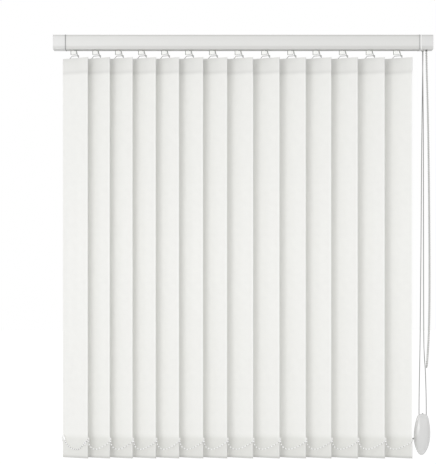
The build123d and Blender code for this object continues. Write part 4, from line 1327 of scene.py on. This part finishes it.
    def build_cord(self) -> None:
        """Run the endless draw cord from the cap round the weight and through the rail."""
        front_drifts = [(-60.0, 521.6), (-304.0, 518.1), (-680.0, 515.9), (-920.0, 513.6), (-1010.0, 511.6), (-1070.0, 510.9)]
        rear_drifts = [
            (-60.0, 522.1), (-300.0, 524.2), (-640.0, 524.4), (-880.0, 524.8), (-925.0, 525.8),
            (-972.0, 529.4), (-1015.0, 530.9), (-1070.0, 532.0),
        ]
        reach, cord_z, exit_x, guide_z, return_x = 6.5, -27.0, 522.0, -32.5, -524.4
        weight_x, weight_z, turn = 521.45, -1119.0, 10.55
        diameter = 2.2
        runs = []
        for side, drifts in ((-1, front_drifts), (1, rear_drifts)):
            run = []
            for height, place_x in drifts:
                share = (height - drifts[0][0]) / (drifts[-1][0] - drifts[0][0])
                run.append(Vector((place_x, side * reach * (1 - share), height)))
            runs.append(run)
        bend = [Vector((weight_x + side * turn, 0, weight_z)) for side in (-1, 1)]
        dip = [Vector((weight_x + side * turn, 0, weight_z - turn)) for side in (-1, 1)]
        near = 13.0
        inside = [
            Vector((exit_x, reach, cord_z)),
            Vector((exit_x - near, reach, cord_z)),
            Vector((return_x + near, reach, cord_z)),
            Vector((return_x - reach, reach, cord_z)),
            Vector((return_x - reach, -reach, cord_z)),
            Vector((return_x + near, -reach, cord_z)),
            Vector((exit_x - near, -reach, cord_z)),
            Vector((exit_x, -reach, cord_z)),
        ]
        start, finish = Vector((exit_x, -reach, guide_z)), Vector((exit_x, reach, guide_z))
        points = [start, *runs[0], bend[0], dip[0], dip[1], bend[1], *reversed(runs[1]), finish, *inside, start]
        line = Route(points).trace(14)
        strand = Strand()
        strand.thread(line, diameter / 2 * MM, 10)
        piece = strand.build("draw_cord", self.finishes["cord"])
        Shop.settle(piece, piece.name, None, "root", "cord_fibre", ["traverse_cord"])
        Route.length(line)
        Shop.report(piece)

    def build_weight(self) -> None:
        """Form the two halves of the cord weight, and the nub on its top."""
        outline = [
            (-0.4, 0.0), (-0.2, 6.0), (1.2, 10.5), (4.5, 14.6), (12.0, 17.4), (24.0, 20.0), (38.0, 22.4),
            (54.0, 23.7), (70.0, 23.4), (84.0, 21.8), (96.0, 18.6), (106.0, 14.2), (113.0, 9.8), (118.0, 5.0),
            (119.6, 0.0),
        ]
        # Depth from the joint, and share of the outline, of each contour from the rim to the dome
        contours = [
            (0.05, 1.0), (2.4, 1.0), (4.6, 0.975), (6.0, 0.93), (6.5, 0.885), (6.2, 0.865), (6.9, 0.84),
            (8.4, 0.76), (9.9, 0.63), (11.1, 0.46), (11.9, 0.27), (12.2, 0.1),
        ]
        lean, weight_x, top, turn, heart, pulley_drop = 1.9, 521.45, -1098.0, 10.55, 58.0, 21.0
        edge = Route([Vector((half, 0, -drop)) for drop, half in outline]).trace(3)
        rim = [place.copy() for place in edge] + [Vector((-place.x, 0, place.z)) for place in reversed(edge[1:-1])]
        place = Matrix.Translation((weight_x * MM, 0, top * MM)) @ Matrix.Rotation(math.radians(lean), 4, "Y")
        for side, name in ((-1, "front"), (1, "rear")):
            bpy.ops.object.select_all(action="DESELECT")
            bpy.ops.mesh.primitive_circle_add(vertices=len(rim), radius=10 * MM, fill_type="NGON")
            half = bpy.context.active_object
            for vertex, corner in zip(half.data.vertices, rim):
                vertex.co = corner + Vector((0, side * contours[0][0] * MM, 0))
            Shop.only(half)
            bpy.ops.object.mode_set(mode="EDIT")
            bpy.ops.mesh.select_all(action="SELECT")
            for (depth, share), (next_depth, next_share) in zip(contours, contours[1:]):
                step = side * (next_depth - depth) * MM
                bpy.ops.mesh.extrude_region_move(TRANSFORM_OT_translate={"value": (0, step, 0)})
                ratio = next_share / share
                bpy.ops.transform.resize(value=(ratio, 1, ratio), center_override=(0, 0, -heart * MM))
            bpy.ops.object.mode_set(mode="OBJECT")
            Shop.outward(half)
            room = Shop.rod(12.6, 5.2, (0, 0, -pulley_drop), (90, 0, 0), 32)
            drills = [room] + [Shop.rod(2.1, 44.0, (run * turn, 0, -1.0), (0, 0, 0), 20) for run in (-1, 1)]
            for drill in drills:
                Shop.modify(half, "BOOLEAN", object=drill, operation="DIFFERENCE")
                bpy.data.objects.remove(drill)
            Shop.smooth(half, 24)
            half.data.transform(place)
            Shop.settle(half, f"weight_{name}", self.finishes["weight"], "root", "weight_plastic", [f"weight_shell_{name}"])
            Shop.report(half)
        nub = Shop.rod(2.2, 3.4, (0, 0, 0.4), (0, 0, 0), 16)
        Shop.soften(nub, 0.8, 2)
        Shop.smooth(nub)
        nub.data.transform(place)
        Shop.settle(nub, "weight_nub", self.finishes["stop"], "root", "weight_plastic")


def main() -> None:
    """Build the studio and the blind."""
    bpy.context.scene.view_settings.view_transform = "Standard"
    Studio().build()
    Blind().build()


if __name__ == "__main__":
    logging.basicConfig(level=logging.INFO, format="%(name)s: %(message)s")
    main()
